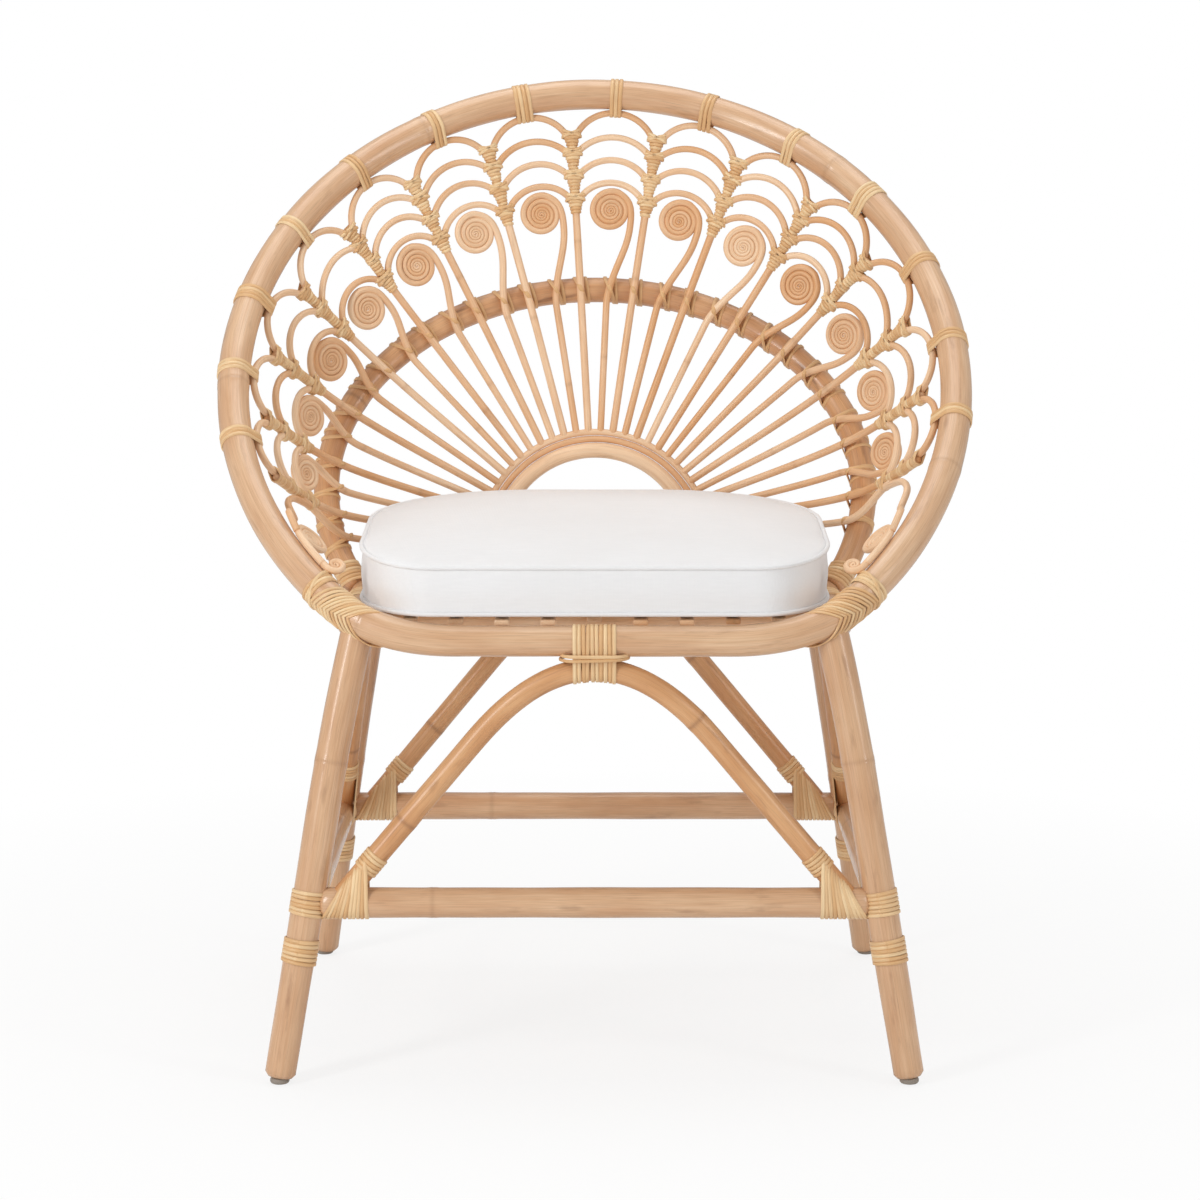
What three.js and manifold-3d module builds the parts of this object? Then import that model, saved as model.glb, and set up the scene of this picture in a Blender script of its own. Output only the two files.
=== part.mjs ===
// Rattan peacock chair with a loose seat cushion. Millimetres, +Z up, the sitter faces -Y.
import * as THREE from 'three';
import Module from 'manifold-3d';

const wasm = await Module();
wasm.setup();

// Poles, rods and bindings
const poleRadius = 15.5;
const hoopRadius = 13;
const braceRadius = 10.5;
const stretcherRadius = 14.2;
const ribRadius = 4;
const stemRadius = 3.7;
const archRadius = 3.3;
const thinArchRadius = 3.4;
const thickArchRadius = 8;
const crossRodRadius = 8;
const caneThickness = 1.5;
const caneWidth = 3.8;
const fitGap = 0.3;

// Seat frame
const seatHeight = 416;
const railFrontY = -217;
const railStraightHalf = 120;
const seatHalfWidth = 240;
const seatBackY = 220;
const seatCornerRadius = 130;
const seatEndSetBack = 38;
const seatBendSetBack = 95;
const slatCount = 9;
const slatPitch = 43;
const slatWidth = 14;
const slatThickness = 5.5;
const slatProud = 3;
const crossRodFrontSetBack = 75;
const crossRodBackSetBack = 62;

// Rim and back hoop, each an oval in a leaning plane
const rimLean = THREE.MathUtils.degToRad(44);
const rimHalfWidth = 355;
const rimHalfLength = 389;
const rimCentreRise = 305;
const rimJointRise = 20;
const rimSetBack = 17;
const rimRaise = 16;
const hoopLean = THREE.MathUtils.degToRad(54.8);
const hoopHalfWidth = 275;
const hoopHalfLength = 235;
const hoopCentreRise = 109;
const hoopBaseY = 75;

// Fan of ribs, curls and scalloped arches
const ribCount = 15;
const fanSpread = THREE.MathUtils.degToRad(83.7);
const fanEase = THREE.MathUtils.degToRad(5.2);
const fanPhase = THREE.MathUtils.degToRad(-3.3);
const hoopSkew = THREE.MathUtils.degToRad(1.25);
const hoopDroop = THREE.MathUtils.degToRad(3.75);
const rimSkew = THREE.MathUtils.degToRad(2);
const rimLift = THREE.MathUtils.degToRad(2);
const hubOuterRadius = 122;
const hubLean = THREE.MathUtils.degToRad(8.5);
const curlOuterRadius = 26;
const curlFacing = 0.35;
const curlEndRadius = 2.6;
const curlTipRadius = 1.7;
const curlGap = 2;
const curlSteps = 8;
const curlLevelTop = 0.445;
const curlLevelSide = 0.34;
const curlArchAir = 0.2;
const rimCurlPlace = 15.3;
const rimCurlRadius = 22;
const propMeetLevel = 0.42;
const fourRowSpan = THREE.MathUtils.degToRad(40);
const outerArchRise = 21;
const innerArchRise = 16;
const sideRiseGain = 0.35;
const treeWrapLength = 12;

// Base
const frontFoot = new THREE.Vector3(296, -240, 0);
const backFoot = new THREE.Vector3(292, 238, 0);
const frontKnee = { drop: 71, spread: 24, bend: 72 };
const backKnee = { drop: 115, spread: 35, bend: 105 };
const legTopAlong = 30;
const legTopSetBack = 9;
const stretcherHeight = 169;
const footWrapHeight = 124;
const wrapLength = 26;
const braceBendHalf = 110;
const braceInset = 27;
const glideHeight = 6;
const glideRadius = 9;
const pinRadius = 2.5;
const pinLength = 12;

// Cushion
const cushionHalfWidth = 223;
const cushionFrontY = -221;
const cushionBackY = 196;
const cushionEdge = 47;
const cushionRise = 26;
const cushionCrown = 14;
const cushionBackCorner = 165;
const cushionFrontCornerX = 75;
const cushionFrontCornerY = 130;
const pipingRadius = 3.2;
const cushionCorners = 26;

const v3 = (x, y, z) => new THREE.Vector3(x, y, z);
const up = v3(0, 0, 1);

const poleColour = 0xd9b48c;
const rodColour = 0xd2a878;
const braceColour = 0xc48f58;
const caneColour = 0xe0c292;
const clothColour = 0xf0eee8;
const glideColour = 0xd6d6d2;

// A closed rod through a row of points. The section is width across and height along the side, which is
// carried from the first ring or given for each ring.
function rod(points, sizeAt, sides, sideGiven = up, quarterTurn = 0) {
  const positions = [];
  const faces = [];
  const side = v3(0, 0, 0);
  points.forEach((point, ring) => {
    if (Array.isArray(sideGiven)) side.copy(sideGiven[ring]);
    else if (ring === 0) side.copy(sideGiven);
    const before = points[Math.max(ring - 1, 0)];
    const after = points[Math.min(ring + 1, points.length - 1)];
    const along = after.clone().sub(before).normalize();
    side.addScaledVector(along, -side.dot(along)).normalize();
    const across = v3(0, 0, 0).crossVectors(along, side);
    const [width, height] = sizeAt(ring);
    for (let corner = 0; corner < sides; corner += 1) {
      const angle = ((corner + quarterTurn) * 2 * Math.PI) / sides;
      const place = point.clone();
      place.addScaledVector(side, height * Math.cos(angle));
      place.addScaledVector(across, width * Math.sin(angle));
      positions.push(place.x, place.y, place.z);
    }
  });
  const last = (points.length - 1) * sides;
  for (let start = 0; start < last; start += sides) {
    for (let corner = 0; corner < sides; corner += 1) {
      const a = start + corner;
      const b = start + ((corner + 1) % sides);
      faces.push(a, b, b + sides, a, b + sides, a + sides);
    }
  }
  for (let corner = 1; corner < sides - 1; corner += 1) {
    faces.push(0, corner + 1, corner);
    faces.push(last, last + corner, last + corner + 1);
  }
  return solidFrom(positions, faces);
}

function solidFrom(positions, faces) {
  const numbers = { numProp: 3, vertProperties: new Float32Array(positions), triVerts: new Uint32Array(faces) };
  return new wasm.Manifold(new wasm.Mesh(numbers));
}

// A solid from a ready-made geometry whose corners are shared by place
function solidFromGeometry(geometry) {
  const positions = [];
  const faces = [];
  const known = new Map();
  const source = geometry.getAttribute('position');
  const corners = geometry.index ? Array.from(geometry.index.array) : [...Array(source.count).keys()];
  for (let i = 0; i < corners.length; i += 3) {
    const triangle = [0, 1, 2].map((k) => {
      const spot = v3(0, 0, 0).fromBufferAttribute(source, corners[i + k]);
      const key = spot.toArray().map((value) => value.toFixed(4)).join(' ');
      if (!known.has(key)) {
        known.set(key, positions.length / 3);
        positions.push(spot.x, spot.y, spot.z);
      }
      return known.get(key);
    });
    if (new Set(triangle).size === 3) faces.push(...triangle);
  }
  return solidFrom(positions, faces);
}

// The largest body that a cut leaves
function mainBody(solid) {
  const bodies = solid.decompose();
  return bodies.reduce((best, body) => (body.volume() > best.volume() ? body : best));
}

function cope(solid, cutters) {
  return mainBody(cutters.reduce((rest, cutter) => rest.subtract(cutter), solid));
}

const round = (radius) => () => [radius, radius];

function curveOf(pointAt) {
  const curve = new THREE.Curve();
  curve.getPoint = pointAt;
  return curve;
}

// Straight runs joined by a rounded bend at each inner point
function bentPole(corners, bend) {
  const path = new THREE.CurvePath();
  let from = corners[0];
  for (let i = 1; i < corners.length - 1; i += 1) {
    const corner = corners[i];
    const entry = corner.clone().add(corners[i - 1].clone().sub(corner).setLength(bend));
    const exit = corner.clone().add(corners[i + 1].clone().sub(corner).setLength(bend));
    path.add(new THREE.LineCurve3(from, entry));
    path.add(new THREE.QuadraticBezierCurve3(entry, corner, exit));
    from = exit;
  }
  path.add(new THREE.LineCurve3(from, corners[corners.length - 1]));
  return path;
}

// Rod with raised bindings: each band is a start and an end along the curve, in millimetres. Square ends
// meet the next pole face to face.
function boundRod(curve, radius, steps, sides, bands, firstSide = up, squareEnds = false) {
  const length = curve.getLength();
  const ends = squareEnds ? [0, 1, length - 1, length] : [0, length];
  const stations = ends.map((place) => [place, radius]);
  for (let i = 1; i < steps; i += 1) {
    const place = (i * length) / steps;
    const nearBand = bands.some(([from, to]) => place > from - 2 && place < to + 2);
    if (!nearBand) stations.push([place, radius]);
  }
  for (const [from, to] of bands) {
    stations.push([from, radius]);
    stations.push([(from + to) / 2, radius + caneThickness]);
    stations.push([to, radius]);
  }
  stations.sort((one, two) => one[0] - two[0]);
  const points = stations.map(([place]) => curve.getPointAt(Math.min(place / length, 1)));
  return rod(points, (ring) => [stations[ring][1], stations[ring][1]], sides, firstSide);
}

// Least air between one winding and the next, over points at least most of a turn apart
function leastSelfGap(points, sizes, stepsPerTurn) {
  let least = Infinity;
  for (let i = 0; i < points.length; i += 1) {
    for (let j = i + Math.ceil(stepsPerTurn * 0.7); j < points.length; j += 1) {
      least = Math.min(least, points[i].distanceTo(points[j]) - sizes[i] - sizes[j]);
    }
  }
  return least;
}

// Rim, front rail, seat hoop and back hoop
const rimBaseY = railFrontY + rimSetBack;
const rimBaseZ = seatHeight + rimRaise;
const hoopBaseZ = seatHeight + hoopRadius;

function ovalPoint(halfWidth, halfLength, centreRise, lean, baseY, baseZ, turn) {
  const rise = centreRise + halfLength * Math.sin(turn);
  return v3(halfWidth * Math.cos(turn), baseY + rise * Math.cos(lean), baseZ + rise * Math.sin(lean));
}

function rimPoint(turn) {
  return ovalPoint(rimHalfWidth, rimHalfLength, rimCentreRise, rimLean, rimBaseY, rimBaseZ, turn);
}

function hoopPoint(turn) {
  return ovalPoint(hoopHalfWidth, hoopHalfLength, hoopCentreRise, hoopLean, hoopBaseY, hoopBaseZ, turn);
}

const rimCentre = rimPoint(0).setX(0);
const rimStart = Math.asin((rimJointRise - rimCentreRise) / rimHalfLength);
const rimCurve = curveOf((t) => rimPoint(rimStart + t * (Math.PI - 2 * rimStart)));

const rimFoot = rimPoint(rimStart);
const rimFootAlong = rimPoint(rimStart + 0.01).sub(rimFoot).normalize();
const toRail = (railFrontY - rimFoot.y) / rimFootAlong.y;
const railCorner = rimFoot.clone().addScaledVector(rimFootAlong, toRail);
const mirrored = (point) => v3(-point.x, point.y, point.z);

const railEnd = rimFoot.clone().addScaledVector(rimFootAlong, -3 * fitGap);
const railBendEnd = v3(railStraightHalf, railFrontY, seatHeight);
const railCurve = new THREE.CurvePath();
railCurve.add(new THREE.QuadraticBezierCurve3(railEnd, railCorner, railBendEnd));
railCurve.add(new THREE.LineCurve3(railBendEnd, mirrored(railBendEnd)));
railCurve.add(new THREE.QuadraticBezierCurve3(mirrored(railBendEnd), mirrored(railCorner), mirrored(railEnd)));

const railPole = (grow) => boundRod(railCurve, poleRadius + grow, 16, 8, [], up, true);
const railCutter = railPole(2 * fitGap);

function seatCorner(angle, sideSign) {
  const reach = seatHalfWidth - seatCornerRadius + seatCornerRadius * Math.cos(angle);
  const y = seatBackY - seatCornerRadius + seatCornerRadius * Math.sin(angle);
  return v3(sideSign * reach, y, seatHeight);
}

const seatPoints = [v3(seatHalfWidth - 8, railFrontY + seatEndSetBack, seatHeight + 6)];
seatPoints.push(v3(seatHalfWidth, railFrontY + seatBendSetBack, seatHeight));
const seatCornerSteps = 6;
seatPoints.push(v3(seatHalfWidth, (railFrontY + seatBackY) / 2, seatHeight));
for (let i = 0; i <= seatCornerSteps; i += 1) {
  seatPoints.push(seatCorner((i * Math.PI) / 2 / seatCornerSteps, 1));
}
const seatMirror = seatPoints.map(mirrored).reverse();
const seatPath = [...seatPoints, ...seatMirror];

const hoopEndRise = -hoopRadius / 2;
const hoopStart = Math.asin((hoopEndRise - hoopCentreRise) / hoopHalfLength);
const hoopCurve = curveOf((t) => hoopPoint(hoopStart + t * (Math.PI - 2 * hoopStart)));

// The leaning surface of the fan: angle from upright as seen square to the hub, level from the hub (-1)
// by the back hoop (0) to the rim (1). Toward its ends the spokes sag at the hoop and rise again to the rim.
const fanCentre = v3(0, seatBackY - 3, seatHeight + poleRadius + 10);

function angleFromHub(point) {
  const rise = (point.z - fanCentre.z) * Math.cos(hubLean) + (point.y - fanCentre.y) * Math.sin(hubLean);
  return Math.atan2(point.x, rise);
}

function turnAtAngle(pointAt, angle, lowest) {
  let low = lowest;
  let high = Math.PI / 2;
  for (let i = 0; i < 40; i += 1) {
    const middle = (low + high) / 2;
    if (angleFromHub(pointAt(middle)) > Math.abs(angle)) low = middle;
    else high = middle;
  }
  return (low + high) / 2;
}

function ovalAtAngle(pointAt, angle, lowest) {
  const turn = turnAtAngle(pointAt, angle, lowest);
  const place = pointAt(turn);
  const along = pointAt(turn + 0.01).sub(pointAt(turn - 0.01)).normalize();
  return angle < 0 ? [mirrored(place), mirrored(along)] : [place, along];
}

function hubPoint(angle, radius) {
  const rise = radius * Math.cos(angle);
  return v3(radius * Math.sin(angle), fanCentre.y + rise * Math.tan(hubLean), fanCentre.z + rise);
}

const fanShare = (angle) => (angle - fanPhase) / (fanSpread - fanEase);
const hoopAngle = (angle) => angle + hoopSkew * fanShare(angle) ** 2 + hoopDroop * fanShare(angle) ** 3;
const rimAngle = (angle) => angle + rimSkew * fanShare(angle) ** 2 - rimLift * fanShare(angle) ** 3;
const spokeCurves = new Map();

function spokeCurve(angle) {
  const key = angle.toFixed(7);
  if (spokeCurves.has(key)) return spokeCurves.get(key);
  const start = hubPoint(angle, hubOuterRadius);
  const [hoopMiddle, hoopAlong] = ovalAtAngle(hoopPoint, hoopAngle(angle), hoopStart);
  const [rimMiddle, rimAlong] = ovalAtAngle(rimPoint, rimAngle(angle), rimStart);
  const front = v3(0, 0, 0).crossVectors(rimMiddle.clone().sub(start), hoopAlong).normalize();
  if (front.y > 0) front.negate();
  const crossing = hoopMiddle.clone().addScaledVector(front, hoopRadius + ribRadius + 3 * fitGap);
  const inward = fanCentre.clone().sub(rimMiddle).normalize();
  inward.addScaledVector(rimCentre.clone().sub(rimMiddle).normalize(), Math.sin(angle) ** 2);
  inward.addScaledVector(rimAlong, -inward.dot(rimAlong)).normalize();
  const contact = rimMiddle.clone().addScaledVector(inward, poleRadius + caneThickness + archRadius + 2 * fitGap);
  const curve = new THREE.CatmullRomCurve3([start, crossing, contact]);
  const lengths = curve.getLengths(200);
  const whole = lengths[200];
  const entry = { curve, whole, inner: lengths[100], reach: whole - lengths[100], rimMiddle, rimAlong, inward };
  spokeCurves.set(key, entry);
  return entry;
}

function fanPoint(angle, level) {
  const { curve, whole, inner, reach } = spokeCurve(angle);
  const along = level < 0 ? (level + 1) * inner : inner + level * reach;
  return curve.getPointAt(Math.min(along / whole, 1));
}

const reachAt = (angle) => spokeCurve(angle).reach;

function fanAxes(angle, level) {
  const outward = fanPoint(angle, level + 0.02).sub(fanPoint(angle, level - 0.02)).normalize();
  const sideways = fanPoint(angle - 0.01, level).sub(fanPoint(angle + 0.01, level));
  sideways.addScaledVector(outward, -sideways.dot(outward)).normalize();
  return { outward, sideways, normal: v3(0, 0, 0).crossVectors(outward, sideways) };
}

// Distance square to the spokes between two angles at one level
function roomBetween(fromAngle, toAngle, level) {
  const { outward } = fanAxes((fromAngle + toAngle) / 2, level);
  const across = fanPoint(toAngle, level).sub(fanPoint(fromAngle, level));
  return across.addScaledVector(outward, -across.dot(outward)).length();
}

// Ribs stand closer toward the ends of the fan; half numbers lie between two ribs
function ribAngle(place) {
  const share = (2 * place) / (ribCount - 1) - 1;
  return fanPhase + fanSpread * share - fanEase * share ** 3;
}

const treeHalfWidth = ribRadius + 2 * archRadius;
const treeHalfThickness = ribRadius + caneThickness;

function curlLevel(place) {
  return curlLevelTop + (curlLevelSide - curlLevelTop) * Math.sin(ribAngle(place)) ** 2;
}

function curlSize(place) {
  const level = curlLevel(place);
  const room = (step) => roomBetween(ribAngle(place), ribAngle(place + step), level);
  return Math.min(curlOuterRadius, Math.min(room(0.5), room(-0.5)) - 0.8 * treeHalfWidth - 1);
}

// Rows of arches count from the rim; the innermost row follows the curl
function rowLevels(place, rows) {
  const reach = reachAt(ribAngle(place));
  const level = curlLevel(place);
  const before = ribAngle(place - 0.5);
  const after = ribAngle(place + 0.5);
  const across = fanPoint(before, level).distanceTo(fanPoint(after, level));
  const square = roomBetween(before, after, level) / across;
  const lowest = level + (curlSize(place) + archRadius + curlArchAir) / (reach * square);
  return Array.from({ length: rows }, (_, row) => {
    const crown = 1 - (row * (1 - lowest)) / (rows - 1);
    const gain = 1 + sideRiseGain * Math.sin(ribAngle(place)) ** 2;
    const rise = gain * (row === 0 ? outerArchRise : innerArchRise);
    return { crown, foot: crown - rise / reach };
  });
}

const rowsBetween = (place) => (Math.abs(ribAngle(place)) < fourRowSpan ? 4 : 3);
const ribRows = (index) => Math.max(rowsBetween(index - 0.5), rowsBetween(index + 0.5));

// Foot of a row on a rib; where three rows meet a rib of four, the last row stays the last
function footLevel(index, row, rows) {
  const onRib = ribRows(index);
  const match = row === rows - 1 ? onRib - 1 : row;
  return rowLevels(index, onRib)[match].foot;
}

// An arch grows from one rib and stands on the next rib's knot
function archRod(index, row, rows) {
  const steps = 4;
  const fromAngle = ribAngle(index);
  const toAngle = ribAngle(index + 1);
  const fromFoot = footLevel(index, row, rows);
  const knotHalf = (treeWrapLength / 2 + archRadius + 3 * fitGap) / reachAt(toAngle);
  const toFoot = footLevel(index + 1, row, rows) + knotHalf;
  const crown = rowLevels(index + 0.5, rows)[row].crown;
  const width = roomBetween(fromAngle, toAngle, (fromFoot + toFoot) / 2);
  const inset = ((ribRadius + archRadius + 6 * fitGap) / width) * (toAngle - fromAngle);
  const middle = (fromAngle + toAngle - inset) / 2;
  const half = (toAngle - fromAngle - inset) / 2;
  const points = [];
  for (let i = 0; i <= steps; i += 1) {
    const swing = (i * Math.PI) / steps;
    const foot = fromFoot + ((toFoot - fromFoot) * i) / steps;
    points.push(fanPoint(middle - half * Math.cos(swing), foot + (crown - foot) * Math.sin(swing)));
  }
  return rod(points, round(archRadius), 4, fanAxes(fromAngle, fromFoot).normal);
}

// Pieces of the fan at the hub
function hubArch(radius, rodRadius, steps, sides) {
  const points = [];
  const footZ = seatHeight + poleRadius / 2;
  const foot = (sign) => v3(sign * radius, fanCentre.y, footZ);
  points.push(foot(-1));
  for (let i = 0; i <= steps; i += 1) {
    points.push(hubPoint(-Math.PI / 2 + (i * Math.PI) / steps, radius));
  }
  points.push(foot(1));
  return rod(points, round(rodRadius), sides, v3(0, -1, 0));
}

const hubOuter = (grow) => hubArch(hubOuterRadius, thinArchRadius + grow, 10, 6);
const hubOuterCutter = hubOuter(2 * fitGap);
const hubMiddleRadius = hubOuterRadius - 2 * thinArchRadius - fitGap;
const hubThickRadius = hubMiddleRadius - thinArchRadius - thickArchRadius - fitGap;
const seatRod = (grow) => rod(seatPath, round(poleRadius + grow), 8);
const seatCutter = seatRod(fitGap);

// A rib swells to a lashed knot wherever arches spring from it
function ribBody(index, grow) {
  const angle = ribAngle(index);
  const levels = rowLevels(index, ribRows(index)).map((row) => row.foot).reverse();
  const half = (treeWrapLength / 2 + grow) / reachAt(angle);
  const plain = [ribRadius + grow, ribRadius + grow];
  const knot = [treeHalfWidth + grow, treeHalfThickness + grow];
  const stations = [[-1, plain], [0, plain]];
  for (const level of levels) {
    stations.push([level - half, plain]);
    stations.push([level, knot]);
    stations.push([level + half, plain]);
  }
  const points = stations.map(([level]) => fanPoint(angle, level));
  return rod(points, (ring) => stations[ring][1], 5, fanAxes(angle, levels[0]).normal);
}

// The last arch at each end of the fan leaves the last tree and bends down along the rim
function endArch(index, sign) {
  const start = rowLevels(index, 3)[1].foot;
  const points = [];
  const steps = 6;
  for (let i = 0; i <= steps; i += 1) {
    const share = i / steps;
    const level = start + (1 - start) * Math.sin(Math.min(1.5 * share, 1) * Math.PI / 2);
    points.push(fanPoint(ribAngle(index + sign * share * 0.8), level));
  }
  return rod(points, round(archRadius), 5, fanAxes(ribAngle(index), start).normal);
}

// A prop runs from the hub over the hoop into the underside of the last tree
function prop(index, sign) {
  const places = [[0.5, -1], [0.5, 0], [0.3, 0.5 * propMeetLevel], [0.07, propMeetLevel]];
  const points = places.map(([off, level]) => fanPoint(ribAngle(index + sign * off), level));
  return rod(points, round(stemRadius), 5, fanAxes(ribAngle(index), 0).normal);
}

function rib(index) {
  const parts = [ribBody(index, 0)];
  const cutters = [hubOuterCutter];
  if (index === 0) parts.push(endArch(index, -1), prop(index, -1));
  if (index === ribCount - 1) parts.push(endArch(index, 1), prop(index, 1));
  if (index < ribCount - 1) {
    const rows = rowsBetween(index + 0.5);
    for (let row = 0; row < rows; row += 1) {
      parts.push(archRod(index, row, rows));
    }
    cutters.push(ribBody(index + 1, fitGap));
  }
  return cope(wasm.Manifold.union(parts), cutters);
}

// A stem that winds up at its end into a flat tapering curl. The stem reaches the curl at its back side.
function curledRod(stem, middle, ahead, back, startRadius, cutters) {
  const slope = (stemRadius - curlTipRadius) / (startRadius - curlEndRadius);
  const base = stemRadius - slope * startRadius;
  const shift = (base + curlGap / 2) / slope;
  const sweepEnd = (Math.PI / slope) * Math.log((startRadius + shift) / (curlEndRadius + shift));
  const points = [];
  const sizes = [];
  const turns = Math.ceil((sweepEnd / (2 * Math.PI)) * curlSteps);
  for (let i = 0; i <= turns; i += 1) {
    const turn = (i * sweepEnd) / turns;
    const radius = (startRadius + shift) * Math.exp((-slope * turn) / Math.PI) - shift;
    const point = middle.clone();
    point.addScaledVector(back, radius * Math.cos(turn));
    point.addScaledVector(ahead, radius * Math.sin(turn));
    points.push(point);
    sizes.push(base + slope * radius);
  }
  const gap = leastSelfGap(points, sizes, curlSteps);
  const sizeAt = (ring) => (ring < stem.length ? stemRadius : sizes[ring - stem.length]);
  const normal = v3(0, 0, 0).crossVectors(ahead, back);
  const body = rod([...stem, ...points], (ring) => [sizeAt(ring), sizeAt(ring)], 5, normal);
  return { body: cope(body, cutters), gap };
}

// Curls of the fan stand on the hub and all wind the same way; at the sides their faces turn to the front
function curlSpoke(index) {
  const place = index + 0.5;
  const angle = ribAngle(place);
  const level = curlLevel(place);
  const { outward, normal } = fanAxes(angle, level);
  const face = normal.lerp(v3(0, -1, 0), curlFacing * Math.sin(angle) ** 2).normalize();
  outward.addScaledVector(face, -outward.dot(face)).normalize();
  const back = v3(0, 0, 0).crossVectors(outward, face);
  const startRadius = curlSize(place) - stemRadius;
  const swing = startRadius / (fanPoint(angle + 0.01, level).distanceTo(fanPoint(angle - 0.01, level)) / 0.02);
  const stem = [-1, 0, 0.5 * level].map((stemLevel) => {
    const share = (stemLevel + 1) / (level + 1);
    return fanPoint(angle + swing * share, stemLevel);
  });
  return curledRod(stem, fanPoint(angle, level), outward, back, startRadius, [hubOuterCutter]);
}

// The lowest curl at each side stands on the corner of the seat and lies against the rim
function rimCurl(cutters) {
  const stem = [];
  const beside = poleRadius * Math.cos(Math.PI / 8) + stemRadius + 3 * fitGap;
  for (const drop of [1.25, 0.8, 0.4]) {
    const { rimMiddle, inward } = spokeCurve(ribAngle(rimCurlPlace + drop));
    stem.push(rimMiddle.clone().addScaledVector(inward, beside));
  }
  const angle = ribAngle(rimCurlPlace);
  const { rimMiddle, rimAlong, inward } = spokeCurve(angle);
  const { outward: back } = fanAxes(angle, 0.95);
  back.addScaledVector(rimAlong, -back.dot(rimAlong)).normalize();
  const startRadius = rimCurlRadius - stemRadius;
  const middle = rimMiddle.clone().addScaledVector(inward, beside).addScaledVector(back, -startRadius);
  return curledRod(stem, middle, rimAlong, back, startRadius, cutters);
}

// A flat strand wound round a line: outline gives a place on the loop and the way out from the pole
function winding(outline, length, stepsPerTurn, air) {
  const pitch = caneWidth + air;
  const loops = Math.floor(length / pitch);
  const steps = loops * stepsPerTurn;
  const points = [];
  const outward = [];
  const sizes = [];
  for (let i = 0; i <= steps; i += 1) {
    const { middle, out, radius } = outline((i / steps) * loops * pitch, i % stepsPerTurn);
    points.push(middle.clone().addScaledVector(out, radius));
    outward.push(out);
    sizes.push(caneWidth / 2);
  }
  const half = Math.SQRT1_2;
  const body = rod(points, () => [caneWidth * half, caneThickness * half], 4, outward, 0.5);
  return { body, gap: leastSelfGap(points, sizes, stepsPerTurn) };
}

const windingSteps = 8;
const windingRadius = (radius) => (radius + 2 * fitGap) / Math.cos(Math.PI / windingSteps) + caneThickness / 2;
const wrapEnvelope = windingRadius(poleRadius) + caneThickness / 2 + 5 * fitGap;

// Corner wrap over the place where the rim meets the front rail
const cornerRailLength = 30;
const cornerRimLength = 22;

function cornerPlace(along) {
  if (along < cornerRailLength) {
    const share = (cornerRailLength - along) / railCurve.getLength();
    return [railCurve.getPointAt(share), railCurve.getTangentAt(share).negate()];
  }
  const share = (along - cornerRailLength) / rimCurve.getLength();
  return [rimCurve.getPointAt(share), rimCurve.getTangentAt(share)];
}

function cornerOutline(along, step) {
  const [middle, direction] = cornerPlace(along);
  const turn = (step * 2 * Math.PI) / windingSteps;
  const side = up.clone().addScaledVector(direction, -up.dot(direction)).normalize();
  const across = v3(0, 0, 0).crossVectors(direction, side);
  const out = side.multiplyScalar(Math.cos(turn)).addScaledVector(across, Math.sin(turn));
  return { middle, out, radius: windingRadius(poleRadius) };
}

function cornerEnvelope() {
  const points = [];
  for (let i = 0; i <= 8; i += 1) {
    points.push(cornerPlace(((cornerRailLength + cornerRimLength + 2 * caneWidth) * i) / 8 - caneWidth)[0]);
  }
  return rod(points, round(wrapEnvelope / Math.cos(Math.PI / 10)), 10);
}

const mirrorX = (solid) => solid.mirror([1, 0, 0]);

// Legs
const legTopFront = railCurve.getPointAt(legTopAlong / railCurve.getLength());
legTopFront.y += legTopSetBack;
const legTopBack = seatCorner(THREE.MathUtils.degToRad(27), 1);

function legCurve(foot, top, bent) {
  const lean = v3(foot.x - top.x, foot.y - top.y, 0).normalize();
  const knee = top.clone().addScaledVector(lean, bent.spread);
  knee.z = seatHeight - bent.drop;
  const ground = v3(foot.x, foot.y, 0);
  const start = ground.clone().addScaledVector(ground.clone().sub(knee).normalize(), 10);
  return bentPole([start, knee, top], bent.bend);
}

const frontLegCurve = legCurve(frontFoot, legTopFront, frontKnee);
const backLegCurve = legCurve(backFoot, legTopBack, backKnee);

function legPlaceAtHeight(curve, height) {
  const foot = curve.getPointAt(0);
  const above = curve.getPointAt(0.2);
  return foot.clone().lerp(above, (height - foot.z) / (above.z - foot.z));
}

function legBands(curve) {
  const foot = curve.getPointAt(0);
  return [footWrapHeight, stretcherHeight].map((height) => {
    const place = foot.distanceTo(legPlaceAtHeight(curve, height));
    return [place - wrapLength / 2, place + wrapLength / 2];
  });
}

const legPole = (curve, grow) => boundRod(curve, poleRadius + grow, 9, 8, legBands(curve), v3(0, 1, 0));

function leg(curve, cutters) {
  const pole = legPole(curve, 0);
  const bore = new THREE.CylinderGeometry(pinRadius + fitGap, pinRadius + fitGap, 2 * pinLength, 8);
  const foot = legPlaceAtHeight(curve, glideHeight);
  bore.rotateX(Math.PI / 2);
  bore.translate(foot.x, foot.y, glideHeight);
  const standing = pole.trimByPlane([0, 0, 1], glideHeight + fitGap);
  return cope(standing.subtract(solidFromGeometry(bore)), cutters);
}

function glide(curve) {
  const foot = legPlaceAtHeight(curve, glideHeight);
  const outline = [
    [0, 0], [glideRadius - 2, 0], [glideRadius, 2.5], [glideRadius - 1.5, glideHeight],
    [pinRadius, glideHeight], [0, glideHeight + pinLength - 1],
  ].map(([x, y]) => new THREE.Vector2(x, y));
  const shape = new THREE.LatheGeometry(outline, 8);
  shape.rotateX(Math.PI / 2);
  shape.translate(foot.x, foot.y, 0);
  return solidFromGeometry(shape);
}

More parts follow.
